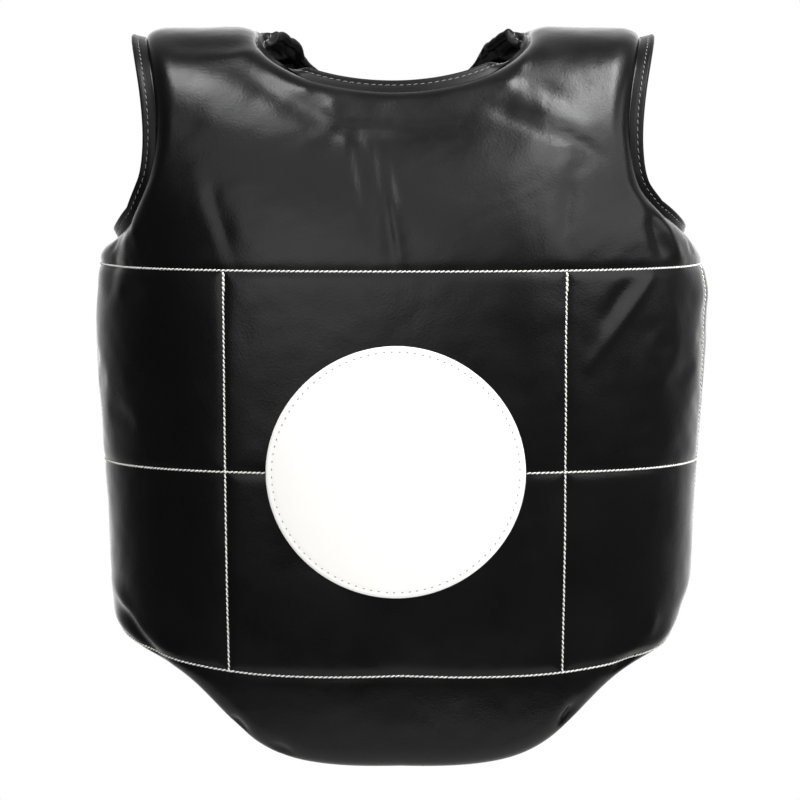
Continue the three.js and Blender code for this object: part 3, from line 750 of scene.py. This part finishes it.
UNEVEN = [(0.55, 38, 3), (0.16, 13, 8)]  # height, size, seed
STREAK_HEIGHT = 0.18
STREAK_LONG = 34
STREAK_NARROW = 8
STREAK_DEEP = 30
STREAK_LEAN = math.radians(28)
STREAKS = np.array([
    (math.cos(STREAK_LEAN) / STREAK_LONG, -math.sin(STREAK_LEAN) / STREAK_NARROW, 0),
    (0, 0, 1 / STREAK_DEEP),
    (math.sin(STREAK_LEAN) / STREAK_LONG, math.cos(STREAK_LEAN) / STREAK_NARROW, 0),
])


def front_heights_at(s, l):
    """Heights of the outer and the inner side over the form, and how far the folds press in."""
    on_form = form_point(s, l)
    full = full_padding(side_z(l)) * side_fill(s, l)
    skin = on_form + form_normal(s, l) * full[..., None]
    channel = CHANNEL_DEPTH * np.exp(-((seam_distance(on_form) / CHANNEL_REACH) ** 1.5))
    uneven = sum(height * unevenness(skin, size, seed) for height, size, seed in UNEVEN)
    uneven += STREAK_HEIGHT * unevenness(skin @ STREAKS, 1, 5) * smooth_step(skin[..., 2], -175, -120)
    free = 1 - patch_cover(s, l)
    bound = smooth_step(side_z(l), -160, -145)
    roll = roll_share(np.maximum(0, rim_distance(on_form) - GROOVE_WIDTH * bound), FRONT_ROLL)
    edge = seat(s, l)
    outer = mix(edge + FLANGE - GROOVE_DEPTH * bound, full - channel + free * uneven, roll)
    return outer, mix(edge, 0, roll), free * mix(RIM_FOLD, 1, roll) * fold_relief(skin)


outer_height, inner_height, folded_in = front_heights_at(front_s, front_ls)
front_outer = raised(front_s, front_ls, outer_height)
front_inner = raised(front_s, front_ls, inner_height)[::2, ::2]
print(f"padding up to {(outer_height - inner_height).max():.1f} mm thick")

# %% [markdown]
# ## Letting the cover settle
# A cover is cut a little larger than its foam, or it could not be turned and sewn. The spare leather
# settles in soft waves between the seams. They could be sculpted, but Blender's cloth solver finds them
# by itself: an even, coarse copy of the outer side is held along edges, seams and patch, lightly blown
# up by the foam, and let go for a few frames. Only the small shifts are kept, capped and laid over the
# fine grid by splines. The copy is thrown away.

# %% A coarse cover, settled as cloth
SETTLE_FRAMES = 20
SETTLE_CAP = 1.5
SPARE_LEATHER = 0.003
FOAM_HOLD = 0.15


def weigh(piece, name, weights):
    group = piece.vertex_groups.new(name=name)
    for number, weight in enumerate(weights):
        group.add([number], float(weight), "REPLACE")
    return group.name


def settled(points, cells, held, tight):
    """How far each grid point shifts when the cover is let go."""
    numbers, used = numbered(cells, 0)
    cover = new_piece("settling_cover", points[used], cell_corners(numbers, cells), black_leather)
    cloth = cover.modifiers.new("settle", "CLOTH").settings
    cloth.quality = 6
    cloth.mass = 0.2
    cloth.tension_stiffness = 40
    cloth.compression_stiffness = 40
    cloth.shear_stiffness = 15
    cloth.bending_stiffness = 10
    cloth.vertex_group_mass = weigh(cover, "held", held[used])
    cloth.vertex_group_shrink = weigh(cover, "tight", tight[used])
    cloth.shrink_min = -SPARE_LEATHER
    cloth.shrink_max = 0
    cloth.use_pressure = True
    cloth.uniform_pressure_force = 0.6
    cloth.effector_weights.gravity = 0
    for frame_number in range(1, SETTLE_FRAMES + 1):
        bpy.context.scene.frame_set(frame_number)
    moved = np.empty(3 * int(used.sum()))
    cover.evaluated_get(bpy.context.evaluated_depsgraph_get()).data.vertices.foreach_get("co", moved)
    bpy.context.scene.frame_set(1)
    bpy.data.objects.remove(cover)
    shift = np.zeros(points.shape)
    shift[used] = moved.reshape(-1, 3) / MM - points[used]
    length = np.linalg.norm(shift, axis=-1, keepdims=True)
    print(f"the cover settles by {np.median(length[used]):.2f} mm, at most {length.max():.1f} mm")
    return shift * np.minimum(1, SETTLE_CAP / np.maximum(length, SETTLE_CAP))


# %% Settle the front
def lath_weights(counts):
    """What each second even row adds to a spline through them, at the crowded rows."""
    starts = np.concatenate([[0], np.cumsum(counts)])
    knots = np.arange(0, starts[-1] + 1, 2)
    at = in_bands(starts, counts)
    return np.stack([spline_through(knots, one)(at) for one in np.eye(len(knots))], axis=-1)


def settle_front():
    s, l = lay_grid(0)[:, ::2, ::2]
    on_form = form_point(s, l)
    near_edge = smooth_step(rim_distance(on_form), 13, 4)
    near_seam = smooth_step(seam_distance(on_form), 5, 1.5)
    held = np.maximum.reduce([near_edge, near_seam, patch_cover(s, l), np.full(s.shape, FOAM_HOLD)])
    by_the_arms = smooth_step(np.abs(on_form[..., 0]), 140, 190) * smooth_step(on_form[..., 2], -300, -180)
    cover = raised(s, l, front_heights_at(s, l)[0])
    shift = settled(cover, filled[::2, ::2], held, 0.9 * (1 - by_the_arms))
    row_weights = lath_weights(row_counts)
    column_weights = lath_weights(COLUMN_COUNTS[::-1] + COLUMN_COUNTS)
    return np.einsum("ri,ijk,cj->rck", row_weights, shift, column_weights, optimize=True)


front_outer += settle_front()

# %% The front as a piece
front_outer -= form_normal(front_s, front_ls) * folded_in[..., None]
front_pad = sewn_piece("front_padding", front_outer, front_inner, filled, black_leather)

# %% [markdown]
# ## The back halves
# Behind, two thin halves are sewn under the wings and the straps. They carry only a layer of thin foam,
# so they stay supple, and where they join the straps they are gathered a little. They are laid on the
# same form.

# %% Cut and padding of a back half
LAP_GAP = 0.75
BACK_PAD = 9
BACK_ROLL = 12
BACK_LAP = 18
BACK_CLEAR = 2.5
BACK_HEM_Z = -428
BACK_FIELD = BACK_LAP + 30
GATHER_DEPTH = 1.6
GATHER_MM = 13
GATHER_REACH = 34


def back_outer_s(l):
    with_lap = wing_end_s(l) + BACK_LAP * smooth_step(l, wing_top_l, wing_top_l + BACK_LAP)
    return np.where(l < wing_top_l, arm_s(l), with_lap)


def back_half(side, name):
    hem_l = float(back_l(BACK_HEM_Z))
    l = in_bands((STRAP_END - BACK_LAP, STRAP_END, wing_top_l, hem_l), (8, 60, 90))[:, None]
    outer_edge = back_outer_s(l)
    to_field = mix(neck_s(l, NECK_HALF), outer_edge - BACK_FIELD, graded(46)[None, :])
    to_edge = outer_edge - np.concatenate([np.linspace(BACK_FIELD, BACK_LAP + BACK_CLEAR, 17)[1:],
                                           np.linspace(BACK_LAP, 0, 8)])[None, :]
    s = side * np.concatenate([to_field, to_edge], axis=1)
    s = s if side > 0 else s[:, ::-1]
    l = np.broadcast_to(l, s.shape)
    cells = np.ones((s.shape[0] - 1, s.shape[1] - 1), bool)
    on_form = form_point(s, l)
    rims = distance_to(rim_points(on_form, cells))(on_form)
    under_front = (l < STRAP_END) | ((l > wing_top_l) & (np.abs(s) > wing_end_s(l)))
    clear = np.where(under_front, 0, np.minimum(rims, rim_distance(on_form) - BACK_CLEAR))
    roll = roll_share(clear, BACK_ROLL)
    fading = np.exp(-(l - STRAP_END) / GATHER_REACH)
    gather = GATHER_DEPTH * np.sin(2 * math.pi * np.abs(s) / GATHER_MM) * fading
    full = BACK_PAD - 0.6 + 0.6 * unevenness(on_form, 40, 5) + np.where(l > STRAP_END, gather, 0)
    outer = raised(s, l, mix(-LAP_GAP, full, roll))
    inner = raised(s, l, np.full(s.shape, -LAP_GAP - FLANGE))
    return sewn_piece(name, outer, inner[::2, ::2], cells, black_leather)


back_right = back_half(1, "back_half_right")
back_left = back_half(-1, "back_half_left")

# %% [markdown]
# ## Bindings
# The raw edges at the neck and the arms are closed by a strip of leather, folded over them and sewn
# down along its middle. A curve with a bevel could make it, but a section drawn in code keeps the sharp
# inner side, the round fold and the groove that the stitches pull. Behind the shoulder ridges the neck
# strip is bunched, so there it is turned to and fro, and made wider and thicker.

# %% Edges that are bound
BINDING_STEP = 1.2
BINDING_SINK = 1.2


def edge_points(s, l):
    """Points and normals along an edge, at the middle of the sewn edge's thickness."""
    on_front = seat(s, l) + FLANGE / 2 - BINDING_SINK
    height = mix(on_front, -LAP_GAP - FLANGE / 2, smooth_step(l, STRAP_END, STRAP_END + BACK_LAP))
    return raised(s, l, height), form_normal(s, l)


def run_along(points):
    """Length of a line up to each of its points."""
    return np.concatenate([[0], np.cumsum(np.linalg.norm(np.diff(points, axis=0), axis=1))])


def found_at(where, run, values):
    return np.stack([np.interp(where, run, values[:, k]) for k in range(3)], axis=-1)


def evenly(points, ups, step, is_loop=False):
    """The same edge with points at even distances."""
    if is_loop:
        points = np.concatenate([points, points[:1]])
        ups = np.concatenate([ups, ups[:1]])
    run = run_along(points)
    at = np.linspace(0, run[-1], int(run[-1] / step) + 1)
    at = at[:-1] if is_loop else at
    return found_at(at, run, points), unit(found_at(at, run, ups))


def arm_edge(side):
    up = np.linspace(arm_corner_l, wing_top_l, 400)
    forward = np.linspace(WING_END, ARM_CORNER_S, 120)[1:-1]
    s = np.concatenate([arm_s(up), forward])
    l = np.concatenate([up, front_l(underarm_z(forward))])
    points, ups = edge_points(side * s, l)
    return evenly(points[::side], ups[::side], BINDING_STEP, is_loop=True)


def neck_edge():
    back = np.linspace(back_l(NECK_BOTTOM_Z), neck_corner_l, 400)
    share = np.cos(np.linspace(0, math.pi, 300))[1:-1]
    line = neckline_l(np.abs(share))
    right = neck_s(back, UPRIGHT_RIGHT)
    left = neck_s(back, UPRIGHT_LEFT)
    s = np.concatenate([right, share * neck_s(line, upright_of(share)), -left[::-1]])
    l = np.concatenate([back, line, back[::-1]])
    return evenly(*edge_points(s, l), BINDING_STEP)


print("neck edge:", len(neck_edge()[0]), "points")

# %% The bindings as pieces
BINDING_WIDTH = 10
BINDING_THICK = 3.6
BINDING_GAP = -1.0
BINDING_SEAM = 4.6
TILT = -18
TUCK = 70
TUCK_BETWEEN = (66, 90)
BUNCH_RISE = -6
BUNCH_FLUTTER = 42
BUNCH_MM = 10
BUNCH_WIDER = 0.45
BUNCH_THICKER = 0.9


def binding_section():
    """Half-round at the fold, square at the sewn side, with a groove along the seam."""
    half = BINDING_THICK / 2
    flat = np.linspace(BINDING_GAP, BINDING_GAP + BINDING_WIDTH - half, 9)
    groove = half - 0.5 * np.exp(-(((flat - BINDING_SEAM) / 1.3) ** 2))
    bend = np.linspace(math.pi / 2, -math.pi / 2, 9)[1:-1]
    fold = np.stack([flat[-1] + half * np.cos(bend), half * np.sin(bend)], axis=-1)
    top = np.stack([flat, groove], axis=-1)
    return np.concatenate([top, fold, np.stack([flat, -groove], axis=-1)[::-1]])


def travel(points, is_loop):
    if is_loop:
        return np.roll(points, -1, axis=0) - np.roll(points, 1, axis=0)
    return np.gradient(points, axis=0)


def binding_turn(points):
    """How far the neck binding is turned down, and where it is bunched, behind the shoulder ridges."""
    on_strap = smooth_step(np.abs(points[:, 0]), *TUCK_BETWEEN)
    bunched = smooth_step(points[:, 1], 2, 14) * smooth_step(points[:, 1], 56, 36)
    flutter = BUNCH_RISE + BUNCH_FLUTTER * unevenness(points, BUNCH_MM, 4)
    return np.radians(mix(mix(TILT, TUCK, on_strap), flutter, bunched))[:, None], bunched[:, None]


def binding_frame(points, ups, is_loop):
    """Directions across and out of a binding."""
    across = unit(np.cross(travel(points, is_loop), ups))
    turn, bunched = (math.radians(TILT), 0) if is_loop else binding_turn(points)
    turned = across * np.cos(turn) - ups * np.sin(turn)
    out = ups * np.cos(turn) + across * np.sin(turn)
    return turned * (1 + BUNCH_WIDER * bunched), out * (1 + BUNCH_THICKER * bunched)


def binding(name, points, ups, is_loop):
    across, out = binding_frame(points, ups, is_loop)
    section = binding_section()
    rings = points[:, None] + across[:, None] * section[None, :, :1] + out[:, None] * section[None, :, 1:]
    count, sides = rings.shape[:2]
    numbers = np.arange(count * sides).reshape(count, sides)
    here = numbers if is_loop else numbers[:-1]
    ahead = np.roll(numbers, -1, axis=0) if is_loop else numbers[1:]
    corners = [here, np.roll(here, -1, axis=1), np.roll(ahead, -1, axis=1), ahead]
    faces = np.stack(corners, axis=-1).reshape(-1, 4)
    ends = [] if is_loop else [numbers[0][::-1], numbers[-1]]
    return new_piece(name, rings, [*faces, *ends], binding_leather)


neck_line = neck_edge()
arm_lines = {"right": arm_edge(1), "left": arm_edge(-1)}
neck_binding = binding("neck_edge_binding", *neck_line, False)
arm_bindings = {}
for side, line in arm_lines.items():
    arm_bindings[side] = binding(f"arm_edge_binding_{side}", *line, True)

# %% [markdown]
# ## The round patch
# A disc of white leather is sewn onto the belly. It is one layer, 1.7 mm thick with a cut edge. Its
# seam pulls it down a little, just inside that edge. Its white thread is drawn as a ring of short grey
# dots, whose grey is painted shade for the shadow in each needle hole. A filled circle would be flat,
# so rings of points are laid on the form. Thick padding spreads them sideways, so they are drawn a
# little taller than wide, and the disc looks round from the front.

# %% The patch as a piece
PATCH_GAP = 0.4
PATCH_THICK = 1.7
PATCH_SEAM = 84
PATCH_PULL = 0.15
PATCH_SECTORS = 192


def patch_place(radius, angle):
    return PATCH_S + radius * np.cos(angle), patch_l + PATCH_TALL * radius * np.sin(angle)


def patch_height(l):
    return full_padding(side_z(l)) + PATCH_GAP


def patch_piece():
    inside = np.linspace(4, PATCH_SEAM - 4, 20)
    rim = np.array([-3, -2, -1, 0, 1, 2, 3, 3.6, 4]) + PATCH_SEAM
    radii = np.concatenate([inside, rim])
    angle = np.linspace(0, 2 * math.pi, PATCH_SECTORS, endpoint=False)
    s, l = patch_place(radii[:, None], angle[None, :])
    pulled = PATCH_PULL * np.exp(-(((radii - PATCH_SEAM) / 1.1) ** 2))
    cut = 0.5 * smooth_step(radii, PATCH_RADIUS - 0.9, PATCH_RADIUS)
    top = raised(s, l, patch_height(l) + (PATCH_THICK - pulled - cut)[:, None])
    under = raised(s, l, patch_height(l))
    crown = raised(PATCH_S, patch_l, patch_height(patch_l) + PATCH_THICK)
    count = len(radii) * PATCH_SECTORS
    numbers = np.arange(count).reshape(len(radii), PATCH_SECTORS)
    turned = np.roll(numbers, -1, axis=1)
    cells = np.stack([numbers[:-1], numbers[1:], turned[1:], turned[:-1]], axis=-1).reshape(-1, 4)
    walls = np.stack([numbers[-1], numbers[-1] + count, turned[-1] + count, turned[-1]], axis=-1)
    middle = [[2 * count, a, b] for a, b in zip(numbers[0], turned[0])]
    under_middle = [(numbers[0] + count)[::-1]]
    points = np.concatenate([top.reshape(-1, 3), under.reshape(-1, 3), crown.reshape(1, 3)])
    faces = [*cells, *(cells + count)[:, ::-1], *walls, *middle, *under_middle]
    return new_piece("round_white_patch", points, faces, white_leather)


patch = patch_piece()

# %% [markdown]
# ## The strap
# A wide woven elastic holds the back halves together. Its ribs are covered rubber cords, 1.6 mm apart,
# and the weft passes over one and under the next. Both are modelled, because a strap seen close up is
# nothing else.

# %% The strap as a piece
STRAP_Z = -300
STRAP_WIDTH = 64
STRAP_HALF = 105
STRAP_THICK = 3
STRAP_SEAT = BACK_PAD + 0.6
RIB_MM = 1.6
WEFT_MM = 2.4


def strap_height(across):
    return STRAP_SEAT + STRAP_THICK - 0.5 * (np.abs(across) > STRAP_WIDTH / 2 - 0.2)


def strap_piece():
    across = np.linspace(-STRAP_WIDTH / 2, STRAP_WIDTH / 2, int(STRAP_WIDTH / RIB_MM) * 4 + 1)
    along = np.linspace(-STRAP_HALF, STRAP_HALF, 2 * int(STRAP_HALF / WEFT_MM * 2) + 1)
    rib = np.cos(2 * math.pi * across / RIB_MM)[:, None]
    weave = np.cos(2 * math.pi * along / WEFT_MM)[None, :] * np.cos(math.pi * across / RIB_MM)[:, None]
    height = strap_height(across)[:, None] - 0.3 + 0.16 * rib + 0.14 * weave
    s = np.broadcast_to(along[None, :], height.shape)
    l = np.broadcast_to(back_l(STRAP_Z - across)[:, None], height.shape)
    outer = raised(s, l, height)
    inner = raised(s, l, np.full(height.shape, STRAP_SEAT))
    cells = np.ones((height.shape[0] - 1, height.shape[1] - 1), bool)
    return sewn_piece("back_elastic_strap", outer, inner[::2, ::2], cells, black_webbing)


strap = strap_piece()

# %% [markdown]
# ## Thread
# At a hand's distance the eye finds the stitches first. Each is a short length of two-ply thread that
# rises out of one needle hole and dives into the next, lying a little askew, as a lock stitch does.
# They could be instances on a curve, but one mesh from arrays is light.

# %% Stitches along a line
RINGS = 8
SIDES = 7
PLY_TURNS = 1.4
chance = np.random.default_rng(11)


def stitches(name, lines, finish, pitch, length, radius, lift, skew):
    """One mesh of stitches along lines of (points, ups)."""
    starts, ends, tops = [], [], []
    for points, ups in lines:
        run = run_along(points)
        at = np.arange(pitch / 4, run[-1] - length, pitch)
        at = at + chance.uniform(-0.05, 0.05, len(at)) * pitch
        starts.append(found_at(at, run, points))
        ends.append(found_at(at + length, run, points))
        tops.append(found_at(at, run, ups))
    start, end, up = np.concatenate(starts), np.concatenate(ends), unit(np.concatenate(tops))
    across = unit(np.cross(end - start, up))
    t = np.linspace(0, 1, RINGS)
    rise = lift * np.sin(math.pi * t) ** 0.7 - 0.35 * radius
    askew = skew * (0.5 - t)
    middle = mix(start[:, None], end[:, None], t[None, :, None])
    middle = middle + up[:, None] * rise[None, :, None] + across[:, None] * askew[None, :, None]
    angle = np.linspace(0, 2 * math.pi, SIDES, endpoint=False)
    plies = 1 + 0.16 * np.cos(2 * (angle[None, :] - 2 * math.pi * PLY_TURNS * t[:, None]))
    thick = radius * (0.45 + 0.55 * np.sin(math.pi * t) ** 0.5)[:, None] * plies
    points = (middle[:, :, None] + across[:, None, None] * (thick * np.cos(angle))[None, :, :, None]
              + up[:, None, None] * (thick * np.sin(angle))[None, :, :, None])
    numbers = np.arange(RINGS * SIDES).reshape(RINGS, SIDES)
    here, ahead = numbers[:-1], numbers[1:]
    corners = [here, ahead, np.roll(ahead, -1, axis=1), np.roll(here, -1, axis=1)]
    tube = np.stack(corners, axis=-1).reshape(-1, 4)
    first = (np.arange(len(start)) * RINGS * SIDES)[:, None]
    caps = np.concatenate([first + numbers[0], first + numbers[-1][::-1]])
    faces = (first[:, None] + tube[None]).reshape(-1, 4)
    return new_piece(name, points, [*faces, *caps], finish, sharp_angle=80)


def on_front(s, l):
    """A line on the front's outer side, with its normals."""
    outer, _, folded = front_heights_at(s, l)
    return raised(s, l, outer - folded), form_normal(s, l)


TACK_LENGTH = 15
TACK_ASIDE = 0.5


def back_tack(name):
    """The start of an upright line, sewn over a second time."""
    s, l = QUILT_LINES[name]
    tack = int(TACK_LENGTH / LINE_STEP)
    return on_front(s[:tack] + TACK_ASIDE, l[:tack])


quilt_paths = [on_front(*line) for line in QUILT_LINES.values()]
quilt_paths += [back_tack(name) for name in ("front left", "front right", "side left", "side right")]
quilt_stitches = stitches("quilting_stitches", quilt_paths, white_thread,
                          pitch=3.5, length=3.7, radius=0.62, lift=0.6, skew=0.95)

# %% Stitches of the bindings, the patch and the strap
def binding_seam(points, ups, is_loop):
    across, out = binding_frame(points, ups, is_loop)
    return points + across * BINDING_SEAM + out * (BINDING_THICK / 2 - 0.45), out


binding_paths = [binding_seam(*neck_line, False)]
binding_paths += [binding_seam(*line, True) for line in arm_lines.values()]
binding_stitches = stitches("binding_stitches", binding_paths, grey_thread_and_hole_shade,
                            pitch=5.2, length=3.5, radius=0.3, lift=0.28, skew=0.5)

turn = np.linspace(0, 2 * math.pi, 1200)
seam_s, seam_l = patch_place(PATCH_SEAM, turn)
seam_height = patch_height(seam_l) + PATCH_THICK - PATCH_PULL
patch_path = (raised(seam_s, seam_l, seam_height), form_normal(seam_s, seam_l))
# The patch's thread is white. Its stitches are short grey dots, painted shade for the shadow in each needle
# hole.
patch_stitches = stitches("patch_stitches", [patch_path], grey_thread_and_hole_shade,
                          pitch=5.6, length=1.6, radius=0.42, lift=0.1, skew=0.1)


def strap_line(s0, across0, s1, across1):
    share = np.linspace(0, 1, 60)
    s, across = mix(s0, s1, share), mix(across0, across1, share)
    l = back_l(STRAP_Z - across)
    return raised(s, l, np.full(60, STRAP_SEAT + STRAP_THICK - 0.1)), form_normal(s, l)


BOX_STITCH = [(70, -27), (99, -27), (99, 27), (70, 27), (70, -27), (99, 27), (70, 27), (99, -27)]
strap_paths = []
for side in (-1, 1):
    for (s0, a0), (s1, a1) in zip(BOX_STITCH, BOX_STITCH[1:]):
        strap_paths.append(strap_line(side * s0, a0, side * s1, a1))
strap_stitches = stitches("strap_stitches", strap_paths, grey_thread_and_hole_shade,
                          pitch=3.2, length=2.6, radius=0.36, lift=0.35, skew=0.2)

# %% [markdown]
# ## Joining the frame
# Nothing on this vest moves on a joint, so every piece rides on the frame's one body. Each soft piece
# hides the solid that it stands for, and the table lists its finish slot beside it.

# %% Riding and replacing
DRESSED = [  # piece, solids that it stands for, finish slot
    (front_pad, ["front_pad"], "black_leatherette"),
    (back_right, ["back_panel_right"], "black_leatherette"),
    (back_left, ["back_panel_left"], "black_leatherette"),
    (neck_binding, ["neck_binding"], "binding"),
    (arm_bindings["right"], ["armhole_binding_right"], "binding"),
    (arm_bindings["left"], ["armhole_binding_left"], "binding"),
    (patch, ["round_patch"], "white_leatherette"),
    (strap, ["back_strap"], "webbing"),
    (quilt_stitches, [], None),
    (binding_stitches, [], None),
    (patch_stitches, [], None),
    (strap_stitches, [], None),
]
for piece, solids, slot in DRESSED:
    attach(piece, "root")
    if solids:
        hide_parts(*solids)
print(len(DRESSED), "pieces ride on the frame")

# %% [markdown]
# ## The studio
# The vest hangs as it is worn, well above a pale floor. White surroundings behind it draw the bright
# rims along its sides. Two soft boxes overhead light the shoulders, and a weaker one before each lets
# its highlight fade out. Three dim panels show the folds, and the rest of the camera's side stays dark,
# so that the front stays black.

# %% Floor, light and camera
FLOOR_Z = -1.4
FLOOR_RADIUS = 1.6
SURROUND = [  # how far towards the back, brightness
    (-0.99, 0.15), (-0.5, 0.16), (0.0, 0.14), (0.35, 0.2),
    (0.64, 0.5), (0.86, 1.3), (0.95, 2.4), (0.99, 3.2),
]
SIDE_SHARES = (0.6, 1.2)
SOFT_BOXES = {  # place, aim, width, height, brightness
    "right_box": ((0.78, -0.42, 1.5), (0.65, -0.04, 0.0), 0.4, 1.2, 34),
    "left_box": ((-0.56, -0.28, 1.5), (-0.1, -0.1, -0.05), 0.4, 0.5, 22),
    "right_fade": ((0.95, -1.3, 1.1), (0.65, -0.04, 0.0), 0.7, 0.7, 9),
    "left_fade": ((-0.5, -0.75, 1.4), (-0.1, -0.1, -0.05), 0.6, 0.5, 7),
    "front_panel": ((-0.45, -1.9, 0.7), (0, -0.1, -0.15), 2.5, 2.0, 1.75),
    "left_panel": ((-0.6, -1.9, -0.05), (0, -0.1, -0.2), 1.4, 1.0, 1.4),
    "right_panel": ((1.45, -0.9, 0.45), (0, -0.1, -0.15), 2.0, 1.1, 3.4),
}
CAMERA_LENS = 216
CAMERA_PLACE = Vector((0.00075, -3.6, 0.026))
CAMERA_AIM = Vector((0.00075, -0.06, -0.258))


def floor_material():
    material, tree, shader = new_material("pale_matt_floor_paint")
    shader.inputs["Base Color"].default_value = linear("#ececea")
    shader.inputs["Roughness"].default_value = 0.8
    return material


def round_floor():
    angle = np.linspace(0, 2 * math.pi, 128, endpoint=False)
    points = np.stack([np.cos(angle), np.sin(angle), np.zeros(128)], axis=-1) * FLOOR_RADIUS / MM
    points[:, 2] = FLOOR_Z / MM
    floor = new_piece("floor", points, [range(128)], floor_material())


def surroundings():
    """White all round for the camera; for the leather, white behind it and dark in front."""
    world = bpy.data.worlds.new("white_studio")
    world.use_nodes = True
    bpy.context.scene.world = world
    tree = world.node_tree
    direction = add_node(tree, "ShaderNodeTexCoord").outputs["Generated"]
    parts = add_node(tree, "ShaderNodeSeparateXYZ", {"Vector": direction})
    share = add_node(tree, "ShaderNodeMapRange", {
        "Value": parts.outputs["Y"], "From Min": -1.0, "From Max": 1.0})
    ramp = add_node(tree, "ShaderNodeValToRGB", {"Fac": share.outputs["Result"]})
    stops = ramp.color_ramp.elements
    for toward_back, level_there in SURROUND:
        stop = stops.new((toward_back + 1) / 2)
        stop.color = (level_there, level_there, level_there, 1)
    stops.remove(stops[-1])
    stops.remove(stops[0])
    side = add_node(tree, "ShaderNodeMapRange", {
        "Value": parts.outputs["X"], "From Min": -1.0, "From Max": 1.0,
        "To Min": SIDE_SHARES[0], "To Max": SIDE_SHARES[1]})
    lit = add_node(tree, "ShaderNodeMath", {0: ramp.outputs["Color"], 1: side.outputs["Result"]},
                   operation="MULTIPLY")
    seen = add_node(tree, "ShaderNodeLightPath").outputs["Is Camera Ray"]
    shown = add_node(tree, "ShaderNodeMix", {"Factor": seen, "A": lit.outputs["Value"], "B": 1.0})
    tree.links.new(shown.outputs["Result"], tree.nodes["Background"].inputs["Strength"])
    tree.nodes["Background"].inputs["Color"].default_value = (1, 1, 1, 1)


def soft_box(name, place, aim, width, height, brightness):
    light = bpy.data.lights.new(name, "AREA")
    light.shape = "RECTANGLE"
    light.size = width
    light.size_y = height
    light.energy = brightness * math.pi * width * height
    box = bpy.data.objects.new(name, light)
    bpy.context.scene.collection.objects.link(box)
    box.location = place
    box.rotation_euler = (Vector(aim) - Vector(place)).to_track_quat("-Z", "Y").to_euler()


def photo_camera():
    """As far off and as high as the photo's camera, aimed at the middle of the vest."""
    lens = bpy.data.cameras.new("camera")
    lens.lens = CAMERA_LENS
    lens.sensor_width = 36
    lens.clip_end = 100
    camera = bpy.data.objects.new("camera", lens)
    bpy.context.scene.collection.objects.link(camera)
    camera.location = CAMERA_PLACE
    camera.rotation_euler = (CAMERA_AIM - CAMERA_PLACE).to_track_quat("-Z", "Y").to_euler()
    bpy.context.scene.camera = camera


round_floor()
surroundings()
for name, settings in SOFT_BOXES.items():
    soft_box(name, *settings)
photo_camera()
bpy.context.scene.view_settings.view_transform = "Standard"
print("floor", FLOOR_Z, "m from the shoulders, lit by", ", ".join(SOFT_BOXES))
